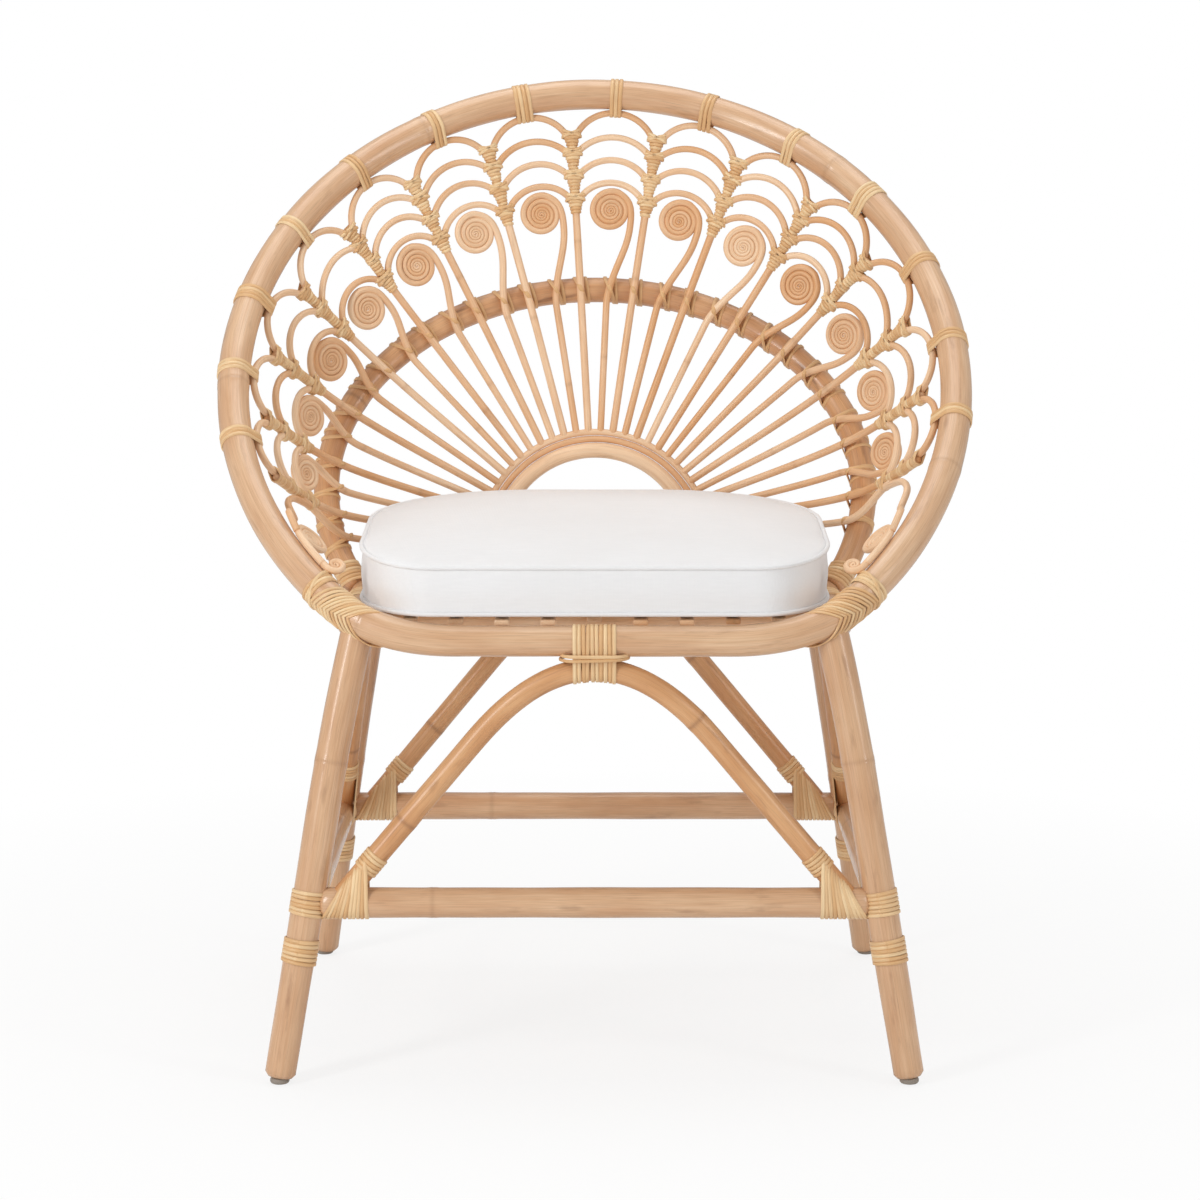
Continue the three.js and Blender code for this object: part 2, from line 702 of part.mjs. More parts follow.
// Stretchers between two legs with bound ends, and the arched brace that stands on each
function stretcherEnds(curveA, curveB, signA, signB) {
  const a = legPlaceAtHeight(curveA, stretcherHeight);
  const b = legPlaceAtHeight(curveB, stretcherHeight);
  return [v3(signA * a.x, a.y, a.z), v3(signB * b.x, b.y, b.z)];
}

function stretcherRod([a, b], grow) {
  const line = new THREE.LineCurve3(a, b);
  const length = line.getLength();
  const from = poleRadius + 4;
  const bands = [[from, from + 2 * wrapLength], [length - from - 2 * wrapLength, length - from]];
  return boundRod(line, stretcherRadius + grow, 2, 8, bands);
}

function bracePoints([a, b], crown) {
  const inward = b.clone().sub(a).normalize();
  const start = a.clone().addScaledVector(inward, braceInset);
  const end = b.clone().addScaledVector(inward, -braceInset);
  const half = start.distanceTo(end) / 2;
  const bendShare = braceBendHalf / (2 * half);
  const middle = start.clone().add(end).multiplyScalar(0.5);
  const peak = crown.clone().addScaledVector(middle, -bendShare).multiplyScalar(1 / (1 - bendShare));
  const bend = (start.distanceTo(peak) * braceBendHalf) / half;
  const path = bentPole([start, peak, end], bend);
  const points = [];
  for (const [part, steps] of [[0, 1], [1, 8], [2, 1]]) {
    const piece = path.curves[part];
    for (let i = part === 0 ? 0 : 1; i <= steps; i += 1) points.push(piece.getPoint(i / steps));
  }
  return points;
}

const braceRod = (points) => rod(points, round(braceRadius), 8, v3(0, 1, 0));
const crownBelow = poleRadius + braceRadius + 2 * fitGap;
const frontEnds = stretcherEnds(frontLegCurve, frontLegCurve, 1, -1);
const backEnds = stretcherEnds(backLegCurve, backLegCurve, 1, -1);
const sideEnds = stretcherEnds(frontLegCurve, backLegCurve, 1, 1);
const sideMiddleY = (sideEnds[0].y + sideEnds[1].y) / 2;
const frontBrace = bracePoints(frontEnds, v3(0, railFrontY, seatHeight - crownBelow));
const backBrace = bracePoints(backEnds, v3(0, seatBackY, seatHeight - crownBelow));
const sideBrace = bracePoints(sideEnds, v3(seatHalfWidth, sideMiddleY, seatHeight - crownBelow));

// Front lashing: a strand wound round the rail and the crown of the front brace
const lashingHalf = 21;
const lashingSteps = 10;

function lashingOutline(along, step) {
  const x = along - lashingHalf;
  const crown = frontBrace[5];
  const bendStart = frontBrace[1];
  const drop = ((crown.z - bendStart.z) * x * x) / (bendStart.x * bendStart.x);
  const onBrace = step > 2 && step < 8;
  const eighths = step - (step > 2) - (step > 7);
  const turn = (eighths * Math.PI) / 4;
  const middle = v3(x, onBrace ? crown.y : railFrontY, onBrace ? crown.z - drop : seatHeight);
  const out = v3(0, Math.sin(turn), Math.cos(turn));
  return { middle, out, radius: windingRadius(onBrace ? braceRadius + 2 * fitGap : poleRadius) };
}

// Seat slats on two cross rods
const slatTop = seatHeight + poleRadius + slatProud;

function seatSlats() {
  const bottom = slatTop - slatThickness;
  const rodZ = bottom - crossRodRadius * Math.SQRT1_2 + 1.5;
  const parts = [];
  for (let i = 0; i < slatCount; i += 1) {
    const x = (i - (slatCount - 1) / 2) * slatPitch;
    const cut = Math.max(Math.abs(x) + slatWidth / 2 - (seatHalfWidth - seatCornerRadius), 0);
    const back = seatBackY - 2 * poleRadius - seatCornerRadius + Math.sqrt(seatCornerRadius ** 2 - cut ** 2);
    const nearWrap = Math.abs(x) < lashingHalf + slatWidth || Math.abs(x) + slatWidth > railStraightHalf;
    const front = nearWrap ? railFrontY + 2 * poleRadius : railFrontY + poleRadius / 2;
    const slat = new THREE.BoxGeometry(slatWidth, back - front, slatThickness);
    slat.translate(x, (back + front) / 2, bottom + slatThickness / 2);
    parts.push(solidFromGeometry(slat));
  }
  for (const y of [railFrontY + crossRodFrontSetBack, seatBackY - crossRodBackSetBack]) {
    const ends = [v3(-seatHalfWidth, y, rodZ), v3(seatHalfWidth, y, rodZ)];
    parts.push(cope(rod(ends, round(crossRodRadius), 4, up, 0.5), [seatCutter]));
  }
  return cope(wasm.Manifold.union(parts), [railCutter]);
}

// Cushion: horseshoe plan, thicker toward the back, crowned top and a piping ridge at both edges
function cushionOutline(grow) {
  const w = cushionHalfWidth + grow;
  const front = cushionFrontY - grow;
  const back = cushionBackY + grow;
  const cx = cushionFrontCornerX + grow;
  const cy = cushionFrontCornerY + grow;
  const r = cushionBackCorner + grow;
  const shape = new THREE.Shape();
  shape.moveTo(-w + cx, front);
  shape.lineTo(w - cx, front);
  shape.absellipse(w - cx, front + cy, cx, cy, -Math.PI / 2, 0, false, 0);
  shape.lineTo(w, back - r);
  shape.absarc(w - r, back - r, r, 0, Math.PI / 2, false);
  shape.lineTo(-w + r, back);
  shape.absarc(-w + r, back - r, r, Math.PI / 2, Math.PI, false);
  shape.lineTo(-w, front + cy);
  shape.absellipse(-w + cx, front + cy, cx, cy, Math.PI, 1.5 * Math.PI, false, 0);
  return shape.getSpacedPoints(cushionCorners).slice(0, cushionCorners);
}

function cushion() {
  const bottom = slatTop + fitGap;
  const slope = cushionRise / (cushionBackY - cushionFrontY);
  const edgeAt = (y) => cushionEdge + slope * (y - cushionFrontY);
  const rings = [
    [-12, 0, 0], [-2, 0, 0.6], [0.8, 0, pipingRadius], [-2.5, 0, 2 * pipingRadius], [-1, 0.35, 0],
    [-1, 0.65, 0], [-2.5, 1, -2 * pipingRadius], [0.8, 1, -pipingRadius], [-2, 1, -0.6], [-9, 1, 0.5],
  ];
  const positions = [];
  const faces = [];
  const count = cushionCorners;
  for (const [grow, share, lift] of rings) {
    cushionOutline(grow).forEach(({ x, y }) => positions.push(x, y, bottom + share * edgeAt(y) + lift));
  }
  const rim = cushionOutline(-9);
  const middle = new THREE.Vector2(0, (cushionFrontY + cushionBackY) / 2);
  const crownShares = [0.85, 0.6, 0.3];
  for (const share of crownShares) {
    const lift = cushionCrown * (1 - share ** 2.2);
    for (const point of rim) {
      const place = point.clone().sub(middle).multiplyScalar(share).add(middle);
      positions.push(place.x, place.y, bottom + edgeAt(place.y) + 0.5 + lift);
    }
  }
  const ringCount = rings.length + crownShares.length;
  for (let ring = 0; ring < ringCount - 1; ring += 1) {
    for (let i = 0; i < count; i += 1) {
      const a = ring * count + i;
      const b = ring * count + ((i + 1) % count);
      faces.push(a, b, b + count, a, b + count, a + count);
    }
  }
  const topCentre = positions.length / 3;
  positions.push(middle.x, middle.y, bottom + edgeAt(middle.y) + 0.5 + cushionCrown);
  positions.push(middle.x, middle.y, bottom);
  const lastRing = (ringCount - 1) * count;
  for (let i = 0; i < count; i += 1) {
    const j = (i + 1) % count;
    faces.push(lastRing + i, lastRing + j, topCentre);
    faces.push(j, i, topCentre + 1);
  }
  return solidFrom(positions, faces);
}

// Rim bindings sit over the crown of each outermost arch
function rimBands() {
  const length = rimCurve.getLength();
  const bands = [];
  for (let index = 0; index < ribCount - 1; index += 1) {
    const angle = rimAngle(ribAngle(index + 0.5));
    const turn = turnAtAngle(rimPoint, angle, rimStart);
    const side = angle < 0 ? Math.PI - turn : turn;
    const spot = rimPoint(side);
    let best = 0;
    for (let i = 0; i <= 600; i += 1) {
      const better = rimCurve.getPointAt(i / 600).distanceTo(spot) < rimCurve.getPointAt(best).distanceTo(spot);
      if (better) best = i / 600;
    }
    bands.push([best * length - 9, best * length + 9]);
  }
  return bands;
}

function hoopBands() {
  const length = hoopCurve.getLength();
  const from = poleRadius;
  return [[from, from + 10], [length - from - 10, length - from]];
}

// Assembly
const chair = new THREE.Group();
chair.name = 'rattan_peacock_chair';

function addPiece(name, solid, colour, roughness) {
  const mesh = solid.getMesh();
  const geometry = new THREE.BufferGeometry();
  geometry.setAttribute('position', new THREE.BufferAttribute(new Float32Array(mesh.vertProperties), 3));
  geometry.setIndex(new THREE.BufferAttribute(new Uint32Array(mesh.triVerts), 1));
  geometry.computeVertexNormals();
  const material = new THREE.MeshStandardMaterial({ color: colour, roughness, metalness: 0, flatShading: true });
  const piece = new THREE.Mesh(geometry, material);
  piece.name = name;
  chair.add(piece);
}

function addPair(name, solid, colour, roughness) {
  addPiece(`${name}_right`, solid, colour, roughness);
  addPiece(`${name}_left`, mirrorX(solid), colour, roughness);
}

const cornerCutter = cornerEnvelope();
const frontLegCutter = legPole(frontLegCurve, fitGap);
const backLegCutter = legPole(backLegCurve, fitGap);
const cornerCutters = [cornerCutter, mirrorX(cornerCutter)];
const frontLegCutters = [frontLegCutter, mirrorX(frontLegCutter)];
const backLegCutters = [backLegCutter, mirrorX(backLegCutter)];

addPiece('rim_hoop', boundRod(rimCurve, poleRadius, 30, 8, rimBands(), v3(0, -1, 1), true), poleColour, 0.5);
addPiece('front_rail', railPole(0), poleColour, 0.5);
const seatHoop = cope(seatRod(0), [...cornerCutters, railCutter, ...frontLegCutters]);
addPiece('seat_hoop', seatHoop, poleColour, 0.5);
const backHoop = boundRod(hoopCurve, hoopRadius, 21, 8, hoopBands(), v3(0, -1, 1));
addPiece('back_hoop', cope(backHoop, [seatCutter]), rodColour, 0.55);

addPair('front_leg', leg(frontLegCurve, [cornerCutter, railCutter]), poleColour, 0.5);
addPair('back_leg', leg(backLegCurve, [seatCutter]), poleColour, 0.5);
addPair('front_glide', glide(frontLegCurve), glideColour, 0.4);
addPair('back_glide', glide(backLegCurve), glideColour, 0.4);

const frontStretcherCutter = stretcherRod(frontEnds, fitGap);
const backStretcherCutter = stretcherRod(backEnds, fitGap);
const sideStretcherCutter = stretcherRod(sideEnds, fitGap);
addPiece('front_stretcher', cope(stretcherRod(frontEnds, 0), frontLegCutters), poleColour, 0.5);
addPiece('back_stretcher', cope(stretcherRod(backEnds, 0), backLegCutters), poleColour, 0.5);
const sideStretcher = cope(
  stretcherRod(sideEnds, 0),
  [frontLegCutter, backLegCutter, frontStretcherCutter, backStretcherCutter],
);
addPair('side_stretcher', sideStretcher, poleColour, 0.5);
const frontBraceSolid = cope(braceRod(frontBrace), [frontStretcherCutter, railCutter, ...frontLegCutters]);
addPiece('front_brace', frontBraceSolid, braceColour, 0.5);
const backBraceSolid = cope(braceRod(backBrace), [backStretcherCutter, seatCutter, ...backLegCutters]);
addPiece('back_brace', backBraceSolid, braceColour, 0.5);
const sideBraceSolid = cope(braceRod(sideBrace), [sideStretcherCutter, seatCutter, frontLegCutter, backLegCutter]);
addPair('side_brace', sideBraceSolid, braceColour, 0.5);

addPiece('hub_outer_arch', cope(hubOuter(0), [seatCutter]), rodColour, 0.55);
addPiece('hub_middle_arch', cope(hubArch(hubMiddleRadius, thinArchRadius, 10, 6), [seatCutter]), rodColour, 0.55);
addPiece('hub_inner_arch', cope(hubArch(hubThickRadius, thickArchRadius, 10, 8), [seatCutter]), rodColour, 0.55);
addPiece('seat_slats', seatSlats(), rodColour, 0.6);
addPiece('seat_cushion', cope(cushion(), [...cornerCutters, railCutter]), clothColour, 0.9);

const frontLashing = winding(lashingOutline, 2 * lashingHalf, lashingSteps, 0.7);
addPiece('front_lashing', frontLashing.body, caneColour, 0.5);
console.log(`front_lashing least self gap ${frontLashing.gap.toFixed(2)} mm`);
const cornerWrap = winding(cornerOutline, cornerRailLength + cornerRimLength, windingSteps, 2.2);
addPair('corner_wrap', cornerWrap.body, caneColour, 0.5);
console.log(`corner_wrap least self gap ${cornerWrap.gap.toFixed(2)} mm`);

for (let index = 0; index < ribCount; index += 1) {
  addPiece(`rib_${String(index + 1).padStart(2, '0')}`, rib(index), rodColour, 0.55);
}
const lowCurl = rimCurl([cornerCutter]);
addPair('rim_curl', lowCurl.body, rodColour, 0.55);
let leastCurlGap = lowCurl.gap;
for (let index = 0; index < ribCount - 1; index += 1) {
  const curl = curlSpoke(index);
  leastCurlGap = Math.min(leastCurlGap, curl.gap);
  addPiece(`curl_spoke_${String(index + 1).padStart(2, '0')}`, curl.body, rodColour, 0.55);
}
console.log(`curl least self gap ${leastCurlGap.toFixed(2)} mm`);

// Set the middle of the footprint on the origin
const bounds = new THREE.Box3().setFromObject(chair);
const centre = bounds.getCenter(v3(0, 0, 0));
chair.children.forEach((piece) => piece.geometry.translate(-centre.x, -centre.y, -bounds.min.z));

export default chair;
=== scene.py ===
import random
from math import acos, asin, atan2, cos, log, pi, radians, sin, sqrt, tan
import bpy
import numpy as np
from numpy.linalg import norm
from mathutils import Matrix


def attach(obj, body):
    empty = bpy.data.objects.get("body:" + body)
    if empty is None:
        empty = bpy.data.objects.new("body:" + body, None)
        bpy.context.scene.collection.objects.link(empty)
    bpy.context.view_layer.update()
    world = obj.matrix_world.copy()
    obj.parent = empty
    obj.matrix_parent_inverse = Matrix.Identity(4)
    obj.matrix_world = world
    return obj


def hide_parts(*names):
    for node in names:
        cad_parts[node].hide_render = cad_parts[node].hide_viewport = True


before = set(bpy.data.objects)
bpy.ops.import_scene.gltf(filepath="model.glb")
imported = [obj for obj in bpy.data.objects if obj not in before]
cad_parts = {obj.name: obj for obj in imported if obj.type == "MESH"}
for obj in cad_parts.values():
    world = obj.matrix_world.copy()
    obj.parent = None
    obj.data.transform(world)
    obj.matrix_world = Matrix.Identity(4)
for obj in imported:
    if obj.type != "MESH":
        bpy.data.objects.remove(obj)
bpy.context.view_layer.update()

random.seed(11)
rowShift = np.array((0.880, -30.319, 0.0))   # model zero to the middle of the footprint, mm
up = np.array((0.0, 0.0, 1.0))
frontOut = np.array((0.0, -1.0, 0.0))


def vec(x, y, z):
    return np.array((x, y, z), float)


def unit(v):
    return v / norm(v)


def toRow(points):
    return (np.asarray(points, float) + rowShift) / 1000


def mirrored(points):
    return np.asarray(points) * (-1, 1, 1)


# paths are rows of points in millimetres
def lengthsOf(path):
    return np.concatenate(([0], np.cumsum(norm(np.diff(path, axis=0), axis=1))))


def readAt(at, keys, path):
    return np.stack([np.interp(at, keys, path[:, k]) for k in range(3)], axis=-1)


def along(path, stations):
    return readAt(stations, lengthsOf(path), path)


def squareTo(v, axis):   # the part of v that runs across an axis
    return v - axis * np.dot(v, axis)


def frameAt(path, station, towards):
    a, b = along(path, [max(station - 1, 0), station + 1])
    z = unit(b - a)
    return along(path, station), unit(squareTo(towards, z)), z


def eased(share):
    t = min(max(share, 0), 1)
    return t * t * (3 - 2 * t)


def bezier(a, b, c, count=24):
    t = np.linspace(0, 1, count)[:, None]
    return (1 - t) ** 2 * a + 2 * t * (1 - t) * b + t * t * c


def bentPole(corners, bend):
    parts = [corners[0][None]]
    for before, corner, after in zip(corners, corners[1:], corners[2:]):
        entry = corner + unit(before - corner) * bend
        leave = corner + unit(after - corner) * bend
        parts.append(bezier(entry, corner, leave))
    parts.append(corners[-1][None])
    return np.concatenate(parts)


def splineThrough(points, perSpan):   # centripetal, as a bent cane runs
    ends = [2 * points[0] - points[1], *points, 2 * points[-1] - points[-2]]
    rows = []
    t = np.linspace(0, 1, perSpan + 1)[:, None]
    for p0, p1, p2, p3 in zip(ends, ends[1:], ends[2:], ends[3:]):
        d0, d1, d2 = (norm(b - a) ** 0.5 for a, b in ((p0, p1), (p1, p2), (p2, p3)))
        t1 = ((p1 - p0) / d0 - (p2 - p0) / (d0 + d1) + (p2 - p1) / d1) * d1
        t2 = ((p2 - p1) / d1 - (p3 - p1) / (d1 + d2) + (p3 - p2) / d2) * d1
        h = (2 * t**3 - 3 * t**2 + 1) * p1 + (t**3 - 2 * t**2 + t) * t1
        h += (3 * t**2 - 2 * t**3) * p2 + (t**3 - t**2) * t2
        rows.append(h if not rows else h[1:])
    return np.concatenate(rows)


# finishes
def srgb(*levels):
    shares = [c / 255 for c in levels]
    return tuple(c / 12.92 if c < 0.04 else ((c + 0.055) / 1.055) ** 2.4 for c in shares) + (1,)


class Wire:
    def __init__(self, finish, socket):
        self.finish, self.socket = finish, socket

    def sum(self, operation, a, b):
        return self.finish.node('Math', {'operation': operation}, {0: a, 1: b})

    def __add__(self, other):
        return self.sum('ADD', self, other)

    def __sub__(self, other):
        return self.sum('SUBTRACT', self, other)

    def __rsub__(self, other):
        return self.sum('SUBTRACT', other, self)

    def __mul__(self, other):
        return self.sum('MULTIPLY', self, other)

    __radd__ = __add__
    __rmul__ = __mul__


class Finish:   # the nodes of a material, or of the air round the chair
    def __init__(self, owner, shader='Principled BSDF'):
        self.owner = owner
        owner.use_nodes = True
        self.nodes, self.links = owner.node_tree.nodes, owner.node_tree.links
        self.shader = self.nodes[shader]

    def node(self, kind, settings, sockets, output=0):
        made = self.nodes.new('ShaderNode' + kind)
        for key, value in settings.items():
            if key == 'stops':
                ramp = made.color_ramp.elements
                while len(ramp) < len(value):
                    ramp.new(1)
                for stop, (place, colour) in zip(ramp, value):
                    stop.position, stop.color = place, colour
            else:
                setattr(made, key, value)
        for key, value in sockets.items():
            self.set(made.inputs[key], value)
        return Wire(self, made.outputs[output])

    def set(self, socket, value):
        if isinstance(value, Wire):
            self.links.new(value.socket, socket)
        else:
            socket.default_value = value

    def mix(self, amount, a, b):
        return self.node('Mix', {'data_type': 'RGBA'}, {0: amount, 6: a, 7: b}, 2)

    def noise(self, place, stretch, detail):
        stretched = self.node('VectorMath', {'operation': 'MULTIPLY'}, {0: place, 1: stretch})
        return self.node('TexNoise', {}, {'Vector': stretched, 'Scale': 1, 'Detail': detail})

    def attribute(self, name, output):
        return self.node('Attribute', {'attribute_name': name}, {}, output)

    def surface(self, **sockets):
        for key, value in sockets.items():
            self.set(self.shader.inputs[key.replace('_', ' ')], value)

    def choose(self, amount, other):   # shows the other shader in place of its own
        own = Wire(self, self.shader.outputs[0])
        picked = self.node('MixShader', {}, {0: amount, 1: own, 2: other})
        last = next(n for n in self.nodes if n.type.startswith('OUTPUT'))
        self.links.new(picked.socket, last.inputs[0])


def newFinish(name):
    return Finish(bpy.data.materials.new(name))


def ramp(finish, wire, *stops):
    return finish.node('ValToRGB', {'stops': [(p, (v, v, v, 1)) for p, v in stops]}, {0: wire})


def rattanFinish(name, look):
    f = newFinish(name)
    fibre = f.attribute('fibre', 'Vector')
    tone = f.attribute('tone', 'Fac')
    ring = f.attribute('ring', 'Fac')
    streak = f.noise(fibre, (0.55, 0.55, 0.010), 4)
    hair = f.noise(fibre, (2.8, 2.8, 0.03), 2)
    cloud = f.noise(fibre, (0.045, 0.045, 0.012), 3)
    colour = f.mix(ramp(f, streak, (0.32, 0), (0.68, 1)), look['pale'], look['mid'])
    colour = f.mix(ramp(f, tone * 0.7 + cloud * 0.9, (0.50, 0), (1.0, 1)), colour, look['deep'])
    smudge = ramp(f, f.noise(fibre, (0.10, 0.10, 0.022), 5), (0.60, 0), (0.74, look['smudge']))
    colour = f.mix(smudge, colour, look['stain'])
    colour = f.mix(ramp(f, hair, (0.50, 0), (0.76, 0.42)), colour, look['stain'])
    colour = f.mix(ring * look['node'], colour, look['stain'])
    relief = streak * 0.7 + hair * 0.5 - ring * 0.25
    normal = f.node('Bump', {}, {'Strength': look['relief'], 'Distance': 0.0006, 'Height': relief})
    f.surface(Base_Color=colour, Roughness=look['rough'] + 0.16 * streak + 0.12 * smudge, Normal=normal)
    f.surface(Coat_Weight=look['coat'], Coat_Roughness=look['gloss'], Specular_IOR_Level=0.45)
    return f.owner


poleSkin = rattanFinish('poleSkin', dict(
    pale=srgb(230, 193, 155), mid=srgb(219, 176, 136), deep=srgb(203, 153, 111), stain=srgb(126, 80, 48),
    smudge=0.34, node=0.16, rough=0.36, relief=0.18, coat=0.72, gloss=0.20))
braceSkin = rattanFinish('braceSkin', dict(
    pale=srgb(236, 192, 142), mid=srgb(226, 173, 122), deep=srgb(206, 147, 95), stain=srgb(118, 70, 40),
    smudge=0.42, node=0.40, rough=0.38, relief=0.18, coat=0.5, gloss=0.25))
hoopSkin = rattanFinish('hoopSkin', dict(
    pale=srgb(236, 190, 142), mid=srgb(222, 168, 118), deep=srgb(196, 140, 94), stain=srgb(116, 74, 46),
    smudge=0.62, node=0.40, rough=0.36, relief=0.18, coat=0.6, gloss=0.22))
coreRod = rattanFinish('coreRod', dict(
    pale=srgb(249, 218, 184), mid=srgb(242, 203, 163), deep=srgb(227, 174, 124), stain=srgb(146, 98, 64),
    smudge=0.22, node=0.20, rough=0.40, relief=0.26, coat=0.16, gloss=0.26))
caneStrand = rattanFinish('caneStrand', dict(
    pale=srgb(247, 220, 176), mid=srgb(241, 204, 154), deep=srgb(225, 180, 128), stain=srgb(150, 104, 60),
    smudge=0.18, node=0.0, rough=0.36, relief=0.30, coat=0.16, gloss=0.26))


# rods: a path, its thickness at each place, growth rings and rounded ends
grown = dict(wave=0.010, waveLength=43.0, ripple=0.007, rippleLength=17.0, ringRoom=12.0, swell=0.03,
             swellLength=4.5, groove=0.014, grooveLength=0.9, markAfter=0.6, markLength=2.4, mostTone=0.72)
ringSteps = np.array((-10, -7, -5, -3.2, -1.8, -0.8, 0, 0.8, 1.8, 3.2, 5, 7, 10.0))
rodEnd = dict(clear=0.35, shoulder=0.25, face=0.8, step=0.02)   # the first three are shares of the radius


def hump(s, place, length):
    return np.exp(-((s - place) / length) ** 2)


def rod(path, size, spacing, rings=(), tone=None, taper=None, closed=False):
    path = np.asarray(path, float)
    whole = lengthsOf(path)[-1]
    s = np.linspace(0, whole, max(int(whole / spacing), 3) + 1)
    for place in rings:
        s = np.concatenate((s[np.abs(s - place) > grown['ringRoom']], place + ringSteps))
    s = np.sort(s)
    seed = random.random() * 400
    thick = np.full(len(s), float(size)) if taper is None else taper(s / whole)
    wave = grown['wave'] * np.sin(s / grown['waveLength'] + seed)
    ripple = grown['ripple'] * np.sin(s / grown['rippleLength'] + 2 * seed)
    thick = thick * (1 + wave + ripple)
    mark = np.zeros(len(s))
    for place in rings:
        thick += grown['swell'] * size * hump(s, place, grown['swellLength'])
        thick -= grown['groove'] * size * hump(s, place, grown['grooveLength'])
        mark = np.maximum(mark, hump(s, place + grown['markAfter'], grown['markLength']))
    if closed:
        s, thick, mark = s[:-1], thick[:-1], mark[:-1]
    else:
        r0, r1 = thick[0], thick[-1]
        inner = (s > rodEnd['clear'] * r0) & (s < whole - rodEnd['clear'] * r1)
        start = [0, rodEnd['step'], rodEnd['shoulder'] * r0]
        end = [whole - rodEnd['shoulder'] * r1, whole - rodEnd['step'], whole]
        s = np.concatenate((start, s[inner], end))
        thick = np.concatenate(([0, rodEnd['face'] * r0, r0], thick[inner], [r1, rodEnd['face'] * r1, 0]))
        mark = np.concatenate(([0, 0, 0], mark[inner], [0, 0, 0]))
    if tone is None:
        tone = random.uniform(0, grown['mostTone'])
    return dict(points=along(path, s), s=s, thick=thick, mark=mark, seed=seed, closed=closed, tone=tone)


def deselectAll():
    bpy.ops.object.select_all(action='DESELECT')


def editAll(*steps):
    bpy.ops.object.mode_set(mode='EDIT')
    bpy.ops.mesh.select_all(action='SELECT')
    for step, settings in steps:
        step(**settings)
    bpy.ops.object.mode_set(mode='OBJECT')


normalsOut = (bpy.ops.mesh.normals_make_consistent, dict(inside=False))


def setGrain(mesh, fibre, tone, ring=0.0):   # what the rattan finishes read
    flat = np.zeros(len(mesh.vertices))
    for name, values in (('tone', flat + tone), ('ring', flat + ring)):
        mesh.attributes.new(name, 'FLOAT', 'POINT').data.foreach_set('value', values.astype(np.float32))
    layer = mesh.attributes.new('fibre', 'FLOAT_VECTOR', 'POINT')
    layer.data.foreach_set('vector', np.asarray(fibre, np.float32).ravel())


def spotsOf(piece):
    spots = np.empty(len(piece.data.vertices) * 3)
    piece.data.vertices.foreach_get('co', spots)
    return spots.reshape(-1, 3)


def settle(piece, material, body='chair_frame', replaces=()):
    piece.data.materials.clear()
    piece.data.materials.append(material)
    if replaces:
        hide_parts(*replaces)
    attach(piece, body)


def sweepRods(name, rods, sides):
    deselectAll()
    bpy.ops.curve.primitive_nurbs_path_add()
    piece = bpy.context.object
    curve = piece.data
    curve.splines.clear()
    curve.dimensions = '3D'
    curve.bevel_depth = 1
    curve.bevel_resolution = (sides - 4) // 2
    curve.use_fill_caps = False
    for r in rods:
        line = curve.splines.new('POLY')
        line.use_cyclic_u = r['closed']
        line.points.add(len(r['s']) - 1)
        line.points.foreach_set('co', np.column_stack((toRow(r['points']), np.ones(len(r['s'])))).ravel())
        line.points.foreach_set('radius', r['thick'] / 1000)
    bpy.ops.object.convert(target='MESH')
    piece.name = piece.data.name = name
    turn = 2 * pi * np.arange(sides) / sides
    fibre, tone, ring = [], [], []
    for r in rods:
        big = max(r['thick'])
        grid = np.empty((len(r['s']), sides, 3))
        grid[..., 0] = big * np.cos(turn) + r['seed']
        grid[..., 1] = big * np.sin(turn) - r['seed']
        grid[..., 2] = r['s'][:, None] + 7 * r['seed']
        fibre.append(grid.reshape(-1, 3))
        tone.append(np.full(len(r['s']) * sides, r['tone']))
        ring.append(np.repeat(r['mark'], sides))
    setGrain(piece.data, np.concatenate(fibre), np.concatenate(tone), np.concatenate(ring))
    editAll((bpy.ops.mesh.remove_doubles, dict(threshold=0.000001)), normalsOut)
    bpy.ops.object.shade_smooth_by_angle(angle=radians(55))
    return piece


def layRods(name, rods, sides, material, slot, *nodes):
    settle(sweepRods(name, rods, sides), material, replaces=nodes)


# cane strands: each goes once round the rods it ties, pulled tight over them
cane = dict(width=3.9, thickness=1.25, pitch=3.95, crown=0.66, wobble=0.012, slack=0.15)


def strand(centre, x, z, rods, at=0.0, slant=0.0, skew=0.0, chevron=0.0, width=cane['width'], lift=0.0,
           tone=None):
    slant += random.gauss(0, cane['wobble'])
    width *= random.uniform(0.94, 1.04)
    if tone is None:
        tone = random.random()
    return dict(centre=centre, x=x, y=np.cross(z, x), z=z, rods=rods, at=at, slant=slant, skew=skew,
                chevron=chevron, width=width, lift=lift, tone=tone)


